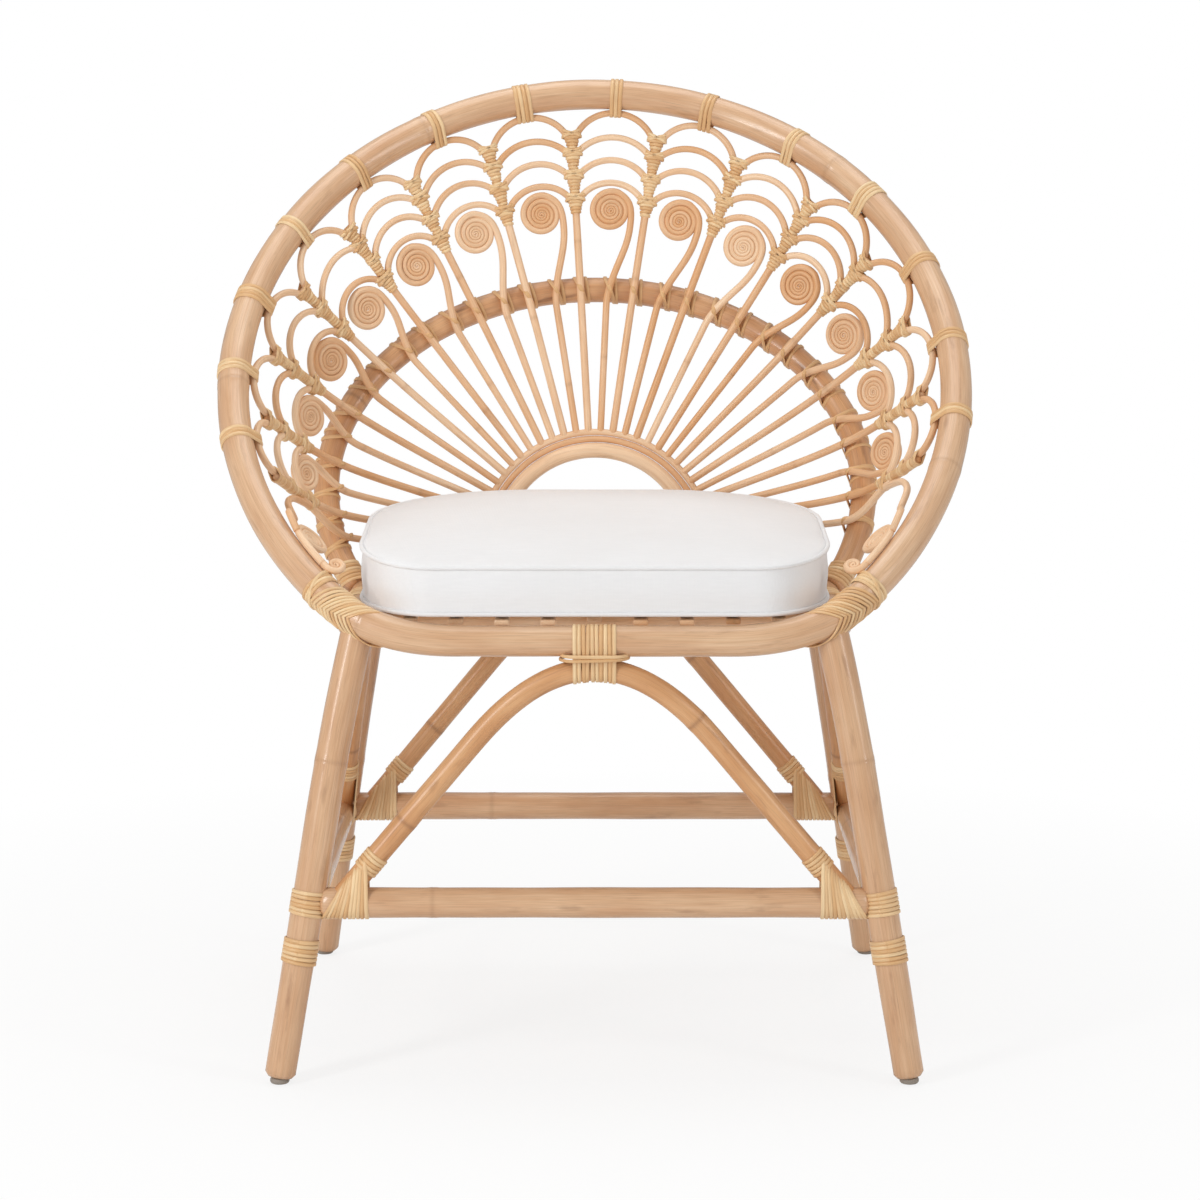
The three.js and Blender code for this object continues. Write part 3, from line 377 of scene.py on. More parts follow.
def strandPlaces(s, steps):
    turn = 2 * pi * np.arange(steps) / steps
    n = np.column_stack((np.cos(turn), np.sin(turn)))
    reach = np.array([[r[0] * a + r[1] * b + r[2] for r in s['rods']] for a, b in n])
    best = reach.argmax(axis=1)
    flat = np.array([s['rods'][k][:2] for k in best], float)
    flat += n * np.array([s['rods'][k][2] + s['lift'] for k in best])[:, None]
    away = np.abs((turn + pi) % (2 * pi) - pi)
    push = s['at'] + s['slant'] * flat[:, 0] + s['skew'] * flat[:, 1]
    push += s['chevron'] * away * np.hypot(flat[:, 0], flat[:, 1])
    crown = cane['crown']
    edge = np.array(((1, -crown), (1, crown), (0, 1), (0, -1)))   # crown and foot of the flat section
    out = flat[:, None, :] + n[:, None, :] * (edge[None, :, :1] * cane['thickness'])
    z = push[:, None] + edge[None, :, 1] * s['width'] / 2
    places = s['centre'] + out[..., :1] * s['x'] + out[..., 1:] * s['y'] + z[..., None] * s['z']
    length = lengthsOf(flat)
    seed = random.random() * 900
    fibre = np.empty((steps, 4, 3))
    fibre[..., 0] = edge[None, :, 1] * s['width'] / 2 + seed
    fibre[..., 1] = seed
    fibre[..., 2] = length[:, None] + 3 * seed
    return places.reshape(-1, 3), fibre.reshape(-1, 3)


def windCane(name, strands, steps):
    deselectAll()
    bpy.ops.mesh.primitive_torus_add(major_segments=steps, minor_segments=4, major_radius=0.02,
                                     minor_radius=0.002)
    pattern = bpy.context.object
    deselectAll()
    for s in strands:
        loop = pattern.copy()
        loop.data = pattern.data.copy()
        bpy.context.collection.objects.link(loop)
        places, fibre = strandPlaces(s, steps)
        loop.data.vertices.foreach_set('co', toRow(places).astype(np.float32).ravel())
        setGrain(loop.data, fibre, s['tone'])
        loop.select_set(True)
    bpy.context.view_layer.objects.active = loop
    bpy.ops.object.join()
    piece = bpy.context.object
    piece.name = piece.data.name = name
    piece.matrix_world.identity()
    bpy.data.objects.remove(pattern)
    editAll(normalsOut)
    bpy.ops.object.shade_smooth_by_angle(angle=radians(70))
    settle(piece, caneStrand)


# seat frame, rim and back hoop
seat = dict(height=416.0, railFrontY=-217.0, railStraightHalf=120.0, railThinning=1.1, halfWidth=231.0,
            backY=220.0, corner=130.0, frontBend=((-22, 46, 3), (0, 80, 0), (0, 110, 0)))
pole = dict(radius=15.5, hoop=13.0, brace=10.5, stretcher=14.2, rib=4.0, stem=3.7, arch=3.5, thinArch=3.4,
            thickArch=8.0)
rim = dict(halfWidth=355.0, halfLength=389.0, centreRise=305.0, jointRise=20.0, lean=radians(44),
           baseY=seat['railFrontY'] + 17, baseZ=seat['height'] + 16)
backHoop = dict(halfWidth=275.0, halfLength=235.0, centreRise=109.0, lean=radians(54.8),
                baseY=75.0, baseZ=seat['height'] + pole['hoop'])


def ovalPoint(o, turn):
    rise = o['centreRise'] + o['halfLength'] * np.sin(turn)
    return np.stack((o['halfWidth'] * np.cos(turn), o['baseY'] + rise * cos(o['lean']),
                     o['baseZ'] + rise * sin(o['lean'])), axis=-1)


def rimPoint(turn):
    return ovalPoint(rim, turn)


def hoopPoint(turn):
    return ovalPoint(backHoop, turn)


def railSize(share):   # the rail is thinner along the front
    return pole['radius'] - seat['railThinning'] * np.clip((0.44 - np.abs(share - 0.5)) / 0.2, 0, 1)


rimStart = asin((rim['jointRise'] - rim['centreRise']) / rim['halfLength'])
rimPath = rimPoint(np.linspace(rimStart, pi - rimStart, 400))
hoopStart = asin((-pole['hoop'] / 2 - backHoop['centreRise']) / backHoop['halfLength'])
hoopPath = hoopPoint(np.linspace(hoopStart, pi - hoopStart, 300))

rimFoot = rimPath[0]
rimFootAlong = unit(rimPoint(rimStart + 0.01) - rimFoot)
railCorner = rimFoot + rimFootAlong * (seat['railFrontY'] - rimFoot[1]) / rimFootAlong[1]
railBend = vec(seat['railStraightHalf'], seat['railFrontY'], seat['height'])
railSide = bezier(rimFoot, railCorner, railBend, 40)
railPath = np.concatenate((railSide, mirrored(railSide)[::-1]))

corner = np.linspace(0, pi / 2, 16)
inset = seat['halfWidth'] - seat['corner']
cornerArc = np.column_stack((inset + seat['corner'] * np.cos(corner),
                             seat['backY'] - seat['corner'] + seat['corner'] * np.sin(corner),
                             np.full(len(corner), seat['height'])))
frontCorner = vec(seat['halfWidth'], seat['railFrontY'], seat['height'])
seatFront = bezier(*(frontCorner + vec(*off) for off in seat['frontBend']), 8)
seatSide = np.concatenate((seatFront, cornerArc))
seatPath = np.concatenate((seatSide, mirrored(seatSide)[::-1]))

for name, path, size, spacing, rings, tone, sides, skin, taper, node in (
        ('rim', rimPath, pole['radius'], 8, (190, 620, 1090, 1500), 0.3, 20, poleSkin, None, 'rim_hoop'),
        ('front_rail', railPath, pole['radius'], 6, (250, 470), 0.3, 20, poleSkin, railSize, 'front_rail'),
        ('seat_hoop', seatPath, pole['radius'], 8, (160, 480, 760), 0.5, 16, poleSkin, None, 'seat_hoop'),
        ('back_hoop', hoopPath, pole['hoop'], 7, (110, 330, 590, 820), 0.5, 18, hoopSkin, None, 'back_hoop')):
    layRods(f'{name}_pole', [rod(path, size, spacing, rings, tone, taper)], sides, skin, 'pole', node)
print('seat frame, rim and back hoop laid')

# legs, stretchers and braces
base = dict(frontFoot=(296.0, -240.0), backFoot=(292.0, 238.0), backTop=(225.8, 149.0), topAlong=30.0,
            topSetBack=9.0, footSize=14.4, stretcherHeight=169.0, footWrapHeight=124.0, braceBendHalf=110.0,
            braceInset=27.0)
frontKnee = dict(drop=71.0, spread=24.0, bend=72.0)
backKnee = dict(drop=115.0, spread=35.0, bend=105.0)


def legPath(foot, top, bent):
    lean = unit(vec(foot[0] - top[0], foot[1] - top[1], 0))
    knee = top + lean * bent['spread']
    knee[2] = seat['height'] - bent['drop']
    ground = vec(*foot, 0)
    return bentPole([ground + unit(ground - knee) * 10, knee, top], bent['bend'])


def atHeight(path, height):
    return readAt(height, path[:, 2], path)


frontTop = along(railPath, base['topAlong']) + vec(0, base['topSetBack'], 0)
frontLeg = legPath(base['frontFoot'], frontTop, frontKnee)
backLeg = legPath(base['backFoot'], vec(*base['backTop'], seat['height']), backKnee)
legs = [(name, side, flip(path)) for name, path in (('front', frontLeg), ('back', backLeg))
        for side, flip in (('right', np.asarray), ('left', mirrored))]


def legSize(share):   # a little thinner toward the foot
    return np.interp(share, (0, 0.6), (base['footSize'], pole['radius']))


def standing(path):   # from the glide to just inside the pole above
    start = atHeight(path, 6.0)
    body = path[path[:, 2] > 7]
    return np.concatenate((start[None], body[:-1], (body[-1] + unit(body[-2] - body[-1]) * 5)[None]))


for name, side, path in legs:
    mark = (300 if name == 'front' else 215) + random.uniform(-14, 14)
    leg = rod(standing(path), pole['radius'], 9, [mark], random.uniform(0.25, 0.5), legSize)
    layRods(f'{name}_leg_pole_{side}', [leg], 18, poleSkin, 'pole', f'{name}_leg_{side}')


def between(a, b):
    return [atHeight(a, base['stretcherHeight']), atHeight(b, base['stretcherHeight'])]


def bracePath(ends, crown):
    a, b = ends
    inward = unit(b - a)
    start, end = a + inward * base['braceInset'], b - inward * base['braceInset']
    half = norm(end - start) / 2
    share = base['braceBendHalf'] / (2 * half)
    peak = (crown - (start + end) / 2 * share) / (1 - share)
    bend = norm(peak - start) * base['braceBendHalf'] / half
    return bentPole([start, peak, end], bend)


crownDrop = pole['radius'] + pole['brace'] + 0.6
frontEnds = between(frontLeg, mirrored(frontLeg))
backEnds = between(backLeg, mirrored(backLeg))
sideEnds = between(frontLeg, backLeg)
sideMiddle = (sideEnds[0][1] + sideEnds[1][1]) / 2
crownZ = seat['height'] - crownDrop
bays = dict(
    front=(frontEnds, bracePath(frontEnds, vec(0, seat['railFrontY'], crownZ)), ''),
    back=(backEnds, bracePath(backEnds, vec(0, seat['backY'], crownZ)), ''),
    side_right=(sideEnds, bracePath(sideEnds, vec(seat['halfWidth'], sideMiddle, crownZ)), '_right'),
)
bays['side_left'] = ([mirrored(p) for p in sideEnds], mirrored(bays['side_right'][1]), '_left')
for bay, (ends, brace, suffix) in bays.items():
    stem = bay.split('_')[0]
    long = norm(ends[1] - ends[0])
    inward = unit(ends[1] - ends[0]) * 12
    line = rod(np.array((ends[0] + inward, ends[1] - inward)), pole['stretcher'], 12,
               rings=(long * random.uniform(0.68, 0.76),), tone=0.35)
    layRods(f'{stem}_stretcher_pole{suffix}', [line], 18, poleSkin, 'pole', f'{stem}_stretcher{suffix}')
    whole = lengthsOf(brace)[-1]
    nodes = (whole * random.uniform(0.31, 0.35), whole * random.uniform(0.83, 0.86))
    arched = rod(brace, pole['brace'], 7, rings=nodes, tone=0.5)
    layRods(f'{stem}_brace_pole{suffix}', [arched], 16, braceSkin, 'brace', f'{stem}_brace{suffix}')
print('legs, stretchers and braces laid')

# the fan: angle from upright seen square to the hub, level -1 at the hub, 0 on the back hoop, 1 at the rim;
# toward its ends the spokes sag at the hoop and rise again to the rim
fan = dict(ribs=15, spread=radians(83.7), ease=radians(5.2), phase=radians(-3.3),
           centre=vec(0, 217, 441.5), hubRadius=122.0, hubLean=radians(8.5),
           hoopSkew=radians(1.25), hoopDroop=radians(3.75), hoopClear=0.9,
           rimSkew=radians(2), rimLift=radians(2), rimClear=5.4, crownNear=1.7,
           fourRows=radians(40), outerRise=21.0, innerRise=16.0, sideGain=0.35, rowClear=3.7,
           propMeets=0.42, propPast=0.06, propSwing=0.40)


def angleFromHub(p):
    d = p - fan['centre']
    return atan2(d[0], d[2] * cos(fan['hubLean']) + d[1] * sin(fan['hubLean']))


def ovalAtAngle(pointAt, angle, lowest):
    low, high = lowest, pi / 2
    for _ in range(34):
        middle = (low + high) / 2
        low, high = (middle, high) if angleFromHub(pointAt(middle)) > abs(angle) else (low, middle)
    place, way = pointAt(low), unit(pointAt(low + 0.01) - pointAt(low - 0.01))
    return (mirrored(place), mirrored(way)) if angle < 0 else (place, way)


def hubPoint(angle, radius):
    rise = radius * cos(angle)
    back = rise * tan(fan['hubLean'])
    return vec(radius * sin(angle), fan['centre'][1] + back, fan['centre'][2] + rise)


spokes = {}
spanSteps = 100
rimCentre = rimPoint(0.0) * (0, 1, 1)


def spoke(angle):
    key = round(angle, 7)
    if key not in spokes:
        start = hubPoint(angle, fan['hubRadius'])
        share = (angle - fan['phase']) / (fan['spread'] - fan['ease'])
        atHoop = angle + fan['hoopSkew'] * share**2 + fan['hoopDroop'] * share**3
        atRim = angle + fan['rimSkew'] * share**2 - fan['rimLift'] * share**3
        hoopMiddle, hoopAlong = ovalAtAngle(hoopPoint, atHoop, hoopStart)
        rimMiddle, rimAlong = ovalAtAngle(rimPoint, atRim, rimStart)
        front = unit(np.cross(rimMiddle - start, hoopAlong))
        front = -front if front[1] > 0 else front
        crossing = hoopMiddle + front * (pole['hoop'] + pole['rib'] + fan['hoopClear'])
        inward = unit(fan['centre'] - rimMiddle) + sin(angle) ** 2 * unit(rimCentre - rimMiddle)
        inward = unit(squareTo(inward, rimAlong))
        contact = rimMiddle + inward * (pole['radius'] + fan['rimClear'])
        path = splineThrough([start, crossing, contact], spanSteps)
        s = lengthsOf(path)
        inner, beyond = s[spanSteps], 20   # the path goes on a little past the rim
        longer = np.vstack((path, path[-1] + unit(path[-1] - path[-3]) * beyond))
        spokes[key] = dict(path=longer, s=np.append(s, s[-1] + beyond), inner=inner, reach=s[-1] - inner,
                           hoopMiddle=hoopMiddle, hoopAlong=hoopAlong, rimMiddle=rimMiddle, rimAlong=rimAlong,
                           inward=inward)
    return spokes[key]


def fanPoint(angle, level):
    k = spoke(angle)
    s = (level + 1) * k['inner'] if level < 0 else k['inner'] + level * k['reach']
    return readAt(s, k['s'], k['path'])


def fanAxes(angle, level):   # outward along the spoke and sideways toward the next one
    outward = unit(fanPoint(angle, level + 0.02) - fanPoint(angle, level - 0.02))
    sideways = fanPoint(angle + 0.01, level) - fanPoint(angle - 0.01, level)
    return outward, unit(squareTo(sideways, outward))


def roomBetween(a, b, level):
    across = fanPoint(b, level) - fanPoint(a, level)
    return norm(squareTo(across, fanAxes((a + b) / 2, level)[0]))


def ribAngle(place):
    share = 2 * place / (fan['ribs'] - 1) - 1
    return fan['phase'] + fan['spread'] * share - fan['ease'] * share**3


curl = dict(radius=26.0, clear=9.48, topLevel=0.445, sideLevel=0.34, facing=0.35, gap=-0.25, tip=1.0, end=0.9,
            perTurn=30, eye=(0.9, 2.2), eyeRadius=1.1, stemTo=0.86, stemBend=(0.25, 1.05), asideAtHoop=0.14,
            rimPlace=15.78, rimRadius=22.0, lowPlace=16.72, lowRadius=13.0)


def curlLevel(place):
    return curl['topLevel'] + (curl['sideLevel'] - curl['topLevel']) * sin(ribAngle(place)) ** 2


def curlSize(place):
    level = curlLevel(place)
    room = min(roomBetween(ribAngle(place), ribAngle(place + step), level) for step in (0.5, -0.5))
    return min(curl['radius'], room - curl['clear'])


def rowLevels(place, rows):
    reach, level = spoke(ribAngle(place))['reach'], curlLevel(place)
    a, b = ribAngle(place - 0.5), ribAngle(place + 0.5)
    square = roomBetween(a, b, level) / norm(fanPoint(a, level) - fanPoint(b, level))
    lowest = level + (curlSize(place) + fan['rowClear']) / (reach * square)
    gain = 1 + fan['sideGain'] * sin(ribAngle(place)) ** 2
    found = []
    for row in range(rows):
        crown = 1 - row * (1 - lowest) / (rows - 1)
        found.append((crown, crown - gain * (fan['outerRise'] if row == 0 else fan['innerRise']) / reach))
    return found


def rowsBetween(place):
    return 4 if abs(ribAngle(place)) < fan['fourRows'] else 3


def ribRows(index):
    return max(rowsBetween(index - 0.5), rowsBetween(index + 0.5))


def footLevel(index, row, rows):
    onRib = ribRows(index)
    return rowLevels(index, onRib)[onRib - 1 if row == rows - 1 else row][1]


feet = {i: [] for i in range(fan['ribs'])}   # for each rib: (side, level) where arch feet lie on it
# how an arch foot lies along its rib: height, distance beside the rib, radius
tuck = np.array(((-16, 2.4, 1.7), (-9, 2.9, 2.5), (-4.5, 3.6, 3.2), (0, 5.5, 3.5), (5, 8.2, 3.5)))


def archRod(index, row, rows):   # a round bow whose thinned feet are tucked in along both ribs
    a, b = ribAngle(index), ribAngle(index + 1)
    footA, footB = footLevel(index, row, rows), footLevel(index + 1, row, rows)
    reach = spoke((a + b) / 2)['reach']
    crown = rowLevels(index + 0.5, rows)[row][0] + (fan['crownNear'] / reach if row == 0 else 0)
    half = roomBetween(a, b, (footA + footB) / 2) / 2
    rise, spread = (crown - (footA + footB) / 2) * reach, half - tuck[3, 1]
    bow = (spread**2 + rise**2) / (2 * rise)
    most = atan2(spread, bow - rise)
    swing = np.linspace(-most, most, 25)
    out = np.concatenate((tuck[:3, 1] - half, bow * np.sin(swing), half - tuck[2::-1, 1]))
    high = np.concatenate((tuck[:3, 0], rise - bow * (1 - np.cos(swing)), tuck[2::-1, 0]))
    thick = np.concatenate((tuck[:3, 2], np.full(len(swing), pole['arch']), tuck[2::-1, 2]))
    share = (1 + out / half) / 2
    levels = footA + (footB - footA) * share + high / reach
    path = np.array([fanPoint(a + (b - a) * t, level) for t, level in zip(share, levels)])
    feet[index].append((1, footA))
    feet[index + 1].append((-1, footB))
    at = lengthsOf(path) / lengthsOf(path)[-1]
    return rod(path, pole['arch'], 2.6, taper=lambda t: np.interp(t, at, thick))


def besideRim(angle, off):   # a place along the inner side of the rim
    k = spoke(angle)
    side = unit(np.cross(k['rimAlong'], vec(0, 1, 0)))
    return k['rimMiddle'] + side * off * (1 if np.dot(side, k['inward']) > 0 else -1)


# the hook of an end arch: turn past the last rib and share of the way to the rim, then places short of the
# rim curl and how far off the rim
hook = dict(bends=((0.022, -0.06), (0.022, 0.10), (0.040, 0.48), (0.085, 0.72), (0.135, 0.74)),
            rimPlaces=((0.50, 4), (0.12, 1)))


def endArch(index, sign):   # leaves the last tree and bends down along the rim to the lowest curl
    start = rowLevels(index, 3)[2][1]
    angle, beside, flip = ribAngle(index), pole['radius'] + pole['arch'], np.array((sign, 1, 1))
    bends = [fanPoint(angle + turn * sign, start + share * (1 - start)) for turn, share in hook['bends']]
    for short, off in hook['rimPlaces']:
        bends.append(besideRim(ribAngle(curl['rimPlace'] - short), beside + off) * flip)
    feet[index].append((sign, start))
    return rod(splineThrough(bends, 16), pole['arch'], 3)


def prop(index, sign):   # runs from the hub over the hoop into the underside of the last tree
    path = []
    for level in np.linspace(-1, fan['propMeets'] + fan['propPast'], 60):
        off = 0.5 - fan['propSwing'] * eased(level / fan['propMeets'])
        path.append(fanPoint(ribAngle(index + sign * off), level))
    return rod(np.array(path), pole['stem'], 6)


archRods = {}
for index in range(fan['ribs']):
    made = []
    if index in (0, fan['ribs'] - 1):
        sign = -1 if index == 0 else 1
        made += [endArch(index, sign), prop(index, sign)]
    if index < fan['ribs'] - 1:
        rows = rowsBetween(index + 0.5)
        made += [archRod(index, row, rows) for row in range(rows)]
    archRods[index] = made
for index in range(fan['ribs']):
    angle = ribAngle(index)
    top = rowLevels(index, ribRows(index))[0][1] + 2 / spoke(angle)['reach']
    path = np.array([fanPoint(angle, level) for level in np.linspace(-1, top, 70)])
    stick = rod(path, pole['rib'], 7, [random.uniform(60, 200)])
    number = f'{index + 1:02d}'
    layRods(f'rib_tree_{number}', [stick] + archRods[index], 10, coreRod, 'rod', f'rib_{number}')
print('ribs and arches laid')

stemCrossings = []


def curled(stem, middle, ahead, back, first):   # a stem that winds up at its end into a flat tapering curl
    slope = (pole['stem'] - curl['tip']) / (first - curl['end'])
    thin = pole['stem'] - slope * first
    shift = (thin + curl['gap'] / 2) / slope
    sweep = pi / slope * log((first + shift) / (curl['end'] + shift))
    turns = np.linspace(0, sweep, int(sweep / (2 * pi) * curl['perTurn']))
    radius = (first + shift) * np.exp(-slope * turns / pi) - shift
    coil = middle + np.outer(radius * np.cos(turns), back) + np.outer(radius * np.sin(turns), ahead)
    behind = np.cross(ahead, back) * (1 if np.cross(ahead, back)[1] > 0 else -1)
    eye = [middle + behind * depth for depth in curl['eye']]
    path = np.concatenate((stem, coil, eye))
    sizes = np.concatenate((np.full(len(stem), pole['stem']), thin + slope * radius,
                            np.full(len(eye), curl['eyeRadius'])))
    blend = np.array([0.25, 0.5, 0.25])
    for _ in range(3):   # ease the stem into the curl
        for k in range(len(stem) - 6, len(stem) + 6):
            path[k] = blend @ path[k - 1:k + 2]
    share = lengthsOf(path) / lengthsOf(path)[-1]
    marks = [random.uniform(50, 190)] if len(stem) > 30 else []
    return rod(path, pole['stem'], 1.7, marks, taper=lambda t: np.interp(t, share, sizes))


def curlStem(index):
    place = index + 0.5
    angle, level = ribAngle(place), curlLevel(place)
    outward, sideways = fanAxes(angle, level)
    turnBy = curl['facing'] * sin(angle) ** 2   # the side curls are turned a little to the front
    face = unit(np.cross(sideways, outward) * (1 - turnBy) + frontOut * turnBy)
    outward = unit(squareTo(outward, face))
    first = curlSize(place) - pole['stem']
    swing = first / (norm(fanPoint(angle + 0.01, level) - fanPoint(angle - 0.01, level)) / 0.02)
    early, long = curl['stemBend']
    stem = []   # near midway between the ribs up to the hoop, then aside to the curl
    for at in np.linspace(-1, curl['stemTo'] * level, 60):
        stem.append(fanPoint(angle + swing * eased((at / level + early) / long), at))
    stemCrossings.append((angle + swing * curl['asideAtHoop'], pole['stem']))
    return curled(np.array(stem), fanPoint(angle, level), outward, np.cross(outward, face), first)


for index in range(fan['ribs'] - 1):
    number = f'{index + 1:02d}'
    layRods(f'curl_stem_{number}', [curlStem(index)], 10, coreRod, 'rod', f'curl_spoke_{number}')
stemCrossings += [(ribAngle(-0.5), pole['stem']), (ribAngle(fan['ribs'] - 0.5), pole['stem'])]

# the lowest curls come up from the corners and lie against the rim, each with a small coil below it
beside = pole['radius'] + pole['stem'] + 0.3
rimScrolls = ((curl['rimPlace'], curl['rimRadius'], 1, 0.20, np.linspace(0.78, 0.12, 12)),
              (curl['lowPlace'], curl['lowRadius'], -1, 0.9, np.linspace(-0.16, -0.06, 8)))
for side, turn in (('right', 1), ('left', -1)):
    flip = np.array((turn, 1, 1))
    scrolls = []
    for place, size, way, turned, drops in rimScrolls:
        angle = ribAngle(place)
        ahead = spoke(angle)['rimAlong']
        outward = fanAxes(angle, 0.95)[0] - turned * unit(besideRim(angle, 1) - besideRim(angle, 0))
        outward = unit(squareTo(outward, ahead))
        stem = np.array([besideRim(ribAngle(place + drop), beside) for drop in drops])
        first = size - pole['stem']
        middle = besideRim(angle, beside) - outward * first
        scrolls.append(curled(stem * flip, middle * flip, ahead * flip * way, outward * flip, first))
    layRods(f'rim_curl_stem_{side}', scrolls, 10, coreRod, 'rod', f'rim_curl_{side}')


def hubArch(radius, size):
    foot = seat['height'] + pole['radius'] / 2
    path = [vec(-radius, fan['centre'][1], foot)]
    path += [hubPoint(a, radius) for a in np.linspace(-pi / 2, pi / 2, 40)]
    return rod(np.array(path + [vec(radius, fan['centre'][1], foot)]), size, 6)


middleRadius = fan['hubRadius'] - 2 * pole['thinArch'] - 0.3
innerRadius = middleRadius - pole['thinArch'] - pole['thickArch'] - 0.3
for name, radius, size in (('outer', fan['hubRadius'], pole['thinArch']),
                           ('middle', middleRadius, pole['thinArch']),
                           ('inner', innerRadius, pole['thickArch'])):
    layRods(f'hub_{name}_rod', [hubArch(radius, size)], 14, coreRod, 'rod', f'hub_{name}_arch')
print('curls and hub laid')

# lashings of the fan
tree = dict(pitch=3.6, width=3.7, below=15.0, above=3.0, feetWithin=4.0, crossSlant=0.36,
            cross=dict(width=3.5, lift=0.6))


def bundle(index, level):   # the rib and the arch feet beside it at a level: place across, then radius
    rods = [(0, 0, pole['rib'])]
    for side, foot in feet[index]:
        above = (level - foot) * spoke(ribAngle(index))['reach']
        if tuck[0, 0] <= above <= tree['feetWithin']:
            out, thick = (np.interp(above, tuck[:, 0], tuck[:, k]) for k in (1, 2))
            rods.append((side * out, 0, thick))
    return rods


for index in range(fan['ribs']):
    angle = ribAngle(index)
    reach = spoke(angle)['reach']
    levels = sorted(level for side, level in feet[index])
    wound = (levels[-1] - levels[0]) * reach + tree['below'] + tree['above']
    strands = []
    for k in range(int(wound / tree['pitch']) + 1):
        level = levels[0] + (-tree['below'] + k * tree['pitch']) / reach
        outward, sideways = fanAxes(angle, level)
        strands.append(strand(fanPoint(angle, level), sideways, outward, bundle(index, level),
                              slant=random.gauss(0, 0.05), width=tree['width']))
    rows = []
    for side, level in feet[index]:
        if all(abs(level - other) * reach > 3 for other in rows):
            rows.append(level)
    for level in rows:   # two strands cross over at each pair of arch feet
        outward, sideways = fanAxes(angle, level)
        for sign in (1, -1):
            strands.append(strand(fanPoint(angle, level + 1 / reach), sideways, outward, bundle(index, level),
                                  slant=sign * tree['crossSlant'], **tree['cross']))
    windCane(f'tree_lashing_{index + 1:02d}', strands, 20)

binding = dict(pitch=4.4, width=4.3)
strands = []
for index in range(fan['ribs'] - 1):
    angle = ribAngle(index + 0.5)
    k = spoke(angle)
    inward = squareTo(fanPoint(angle, 1 + fan['crownNear'] / k['reach']) - k['rimMiddle'], k['rimAlong'])
    gap = norm(inward)
    tied = [(0, 0, pole['radius'] + cane['slack']), (gap, 0, pole['arch'] + 0.2)]
    count, lean = 4 if index % 4 == 2 else 3, random.uniform(-0.05, 0.12)
    for step in range(count):
        strands.append(strand(k['rimMiddle'], inward / gap, k['rimAlong'], tied, skew=lean,
                              at=(step - (count - 1) / 2) * binding['pitch'], width=binding['width']))
windCane('rim_bindings', strands, 22)

tie = dict(over=dict(skew=0.42, width=4.8, tone=1.0), beside=dict(skew=0.10, width=3.8, tone=1.0), apart=3.0)
strands = []
crossings = [(ribAngle(i), pole['rib']) for i in range(fan['ribs'])] + stemCrossings
for angle, size in crossings:   # a cross strand over the spoke and one round the hoop beside it
    k = spoke(angle)
    out = squareTo(fanPoint(angle, 0) - k['hoopMiddle'], k['hoopAlong'])
    gap = norm(out)
    way = k['hoopAlong'] if k['hoopAlong'][0] > 0 else -k['hoopAlong']
    hoopRod = (0, 0, pole['hoop'] + cane['slack'])
    strands += [strand(k['hoopMiddle'], out / gap, way, [hoopRod, (gap, 0, size + 0.1)], **tie['over']),
                strand(k['hoopMiddle'], out / gap, way, [hoopRod], at=size + tie['apart'], **tie['beside'])]
windCane('hoop_ties', strands, 18)
print('fan lashed')


# lashings of the frame
def wrapRun(path, start, count, size, towards=frontOut, skew=0.0, turnBy=0.0):
    made = []
    for k in range(count):
        centre, x, z = frameAt(path, start + k * cane['pitch'], towards)
        lean = skew + turnBy * (k - count / 2)
        made.append(strand(centre, x, z, [(0, 0, size + cane['slack'])], skew=lean))
    return made


# bands: how far past the joint, turns, height over the pole and skew
herringbone = dict(count=11, before=25.0, pitch=4.1, width=3.5, point=-0.95, flatten=0.055,
                   bands=((18, 3, 0.4, 0.08), (22, 1, 1.4, -0.35)))
hoopWrap = dict(start=5, count=6, skew=0.2, turnBy=0.03)
legWrap = dict(count=6, turnBy=0.012)
halfWrap = (legWrap['count'] - 1) / 2 * cane['pitch']
for side, sign, flip in (('right', 1, np.asarray), ('left', -1, mirrored)):
    # herringbone over the joint of rim and rail, each strand bent to a point along the front of the pole
    jointPath = np.concatenate((flip(railPath[:30][::-1]), flip(rimPath[1:60])))
    joint = lengthsOf(jointPath)[29]
    strands = []
    for k in range(herringbone['count']):
        ridge = frontOut + flip(vec(0.7, 0, -0.7)) * tan(radians(2 + 4 * k))
        centre, x, z = frameAt(jointPath, joint - herringbone['before'] + k * herringbone['pitch'], ridge)
        chevron = herringbone['point'] + herringbone['flatten'] * k   # flatter toward the rim
        strands.append(strand(centre, x, z, [(0, 0, pole['radius'] + 0.2)], chevron=chevron,
                              lift=0.3 * (k % 2), width=herringbone['width']))
    for after, count, over, skew in herringbone['bands']:
        strands += wrapRun(jointPath, joint + after, count, pole['radius'] + over, skew=skew * sign)
    windCane(f'corner_herringbone_{side}', strands, 24)
    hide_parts(f'corner_wrap_{side}')

    strands = wrapRun(flip(hoopPath), hoopWrap['start'], hoopWrap['count'], pole['hoop'],
                      skew=hoopWrap['skew'] * sign, turnBy=hoopWrap['turnBy'])
    windCane(f'hoop_foot_wrap_{side}', strands, 20)

    for name, legSide, path in legs:
        if legSide == side:
            strands = []
            for height in (base['footWrapHeight'], base['stretcherHeight']):
                start = np.interp(height, path[:, 2], lengthsOf(path)) - halfWrap
                strands += wrapRun(path, start, legWrap['count'], pole['radius'], turnBy=legWrap['turnBy'])
            windCane(f'{name}_leg_wraps_{side}', strands, 22)

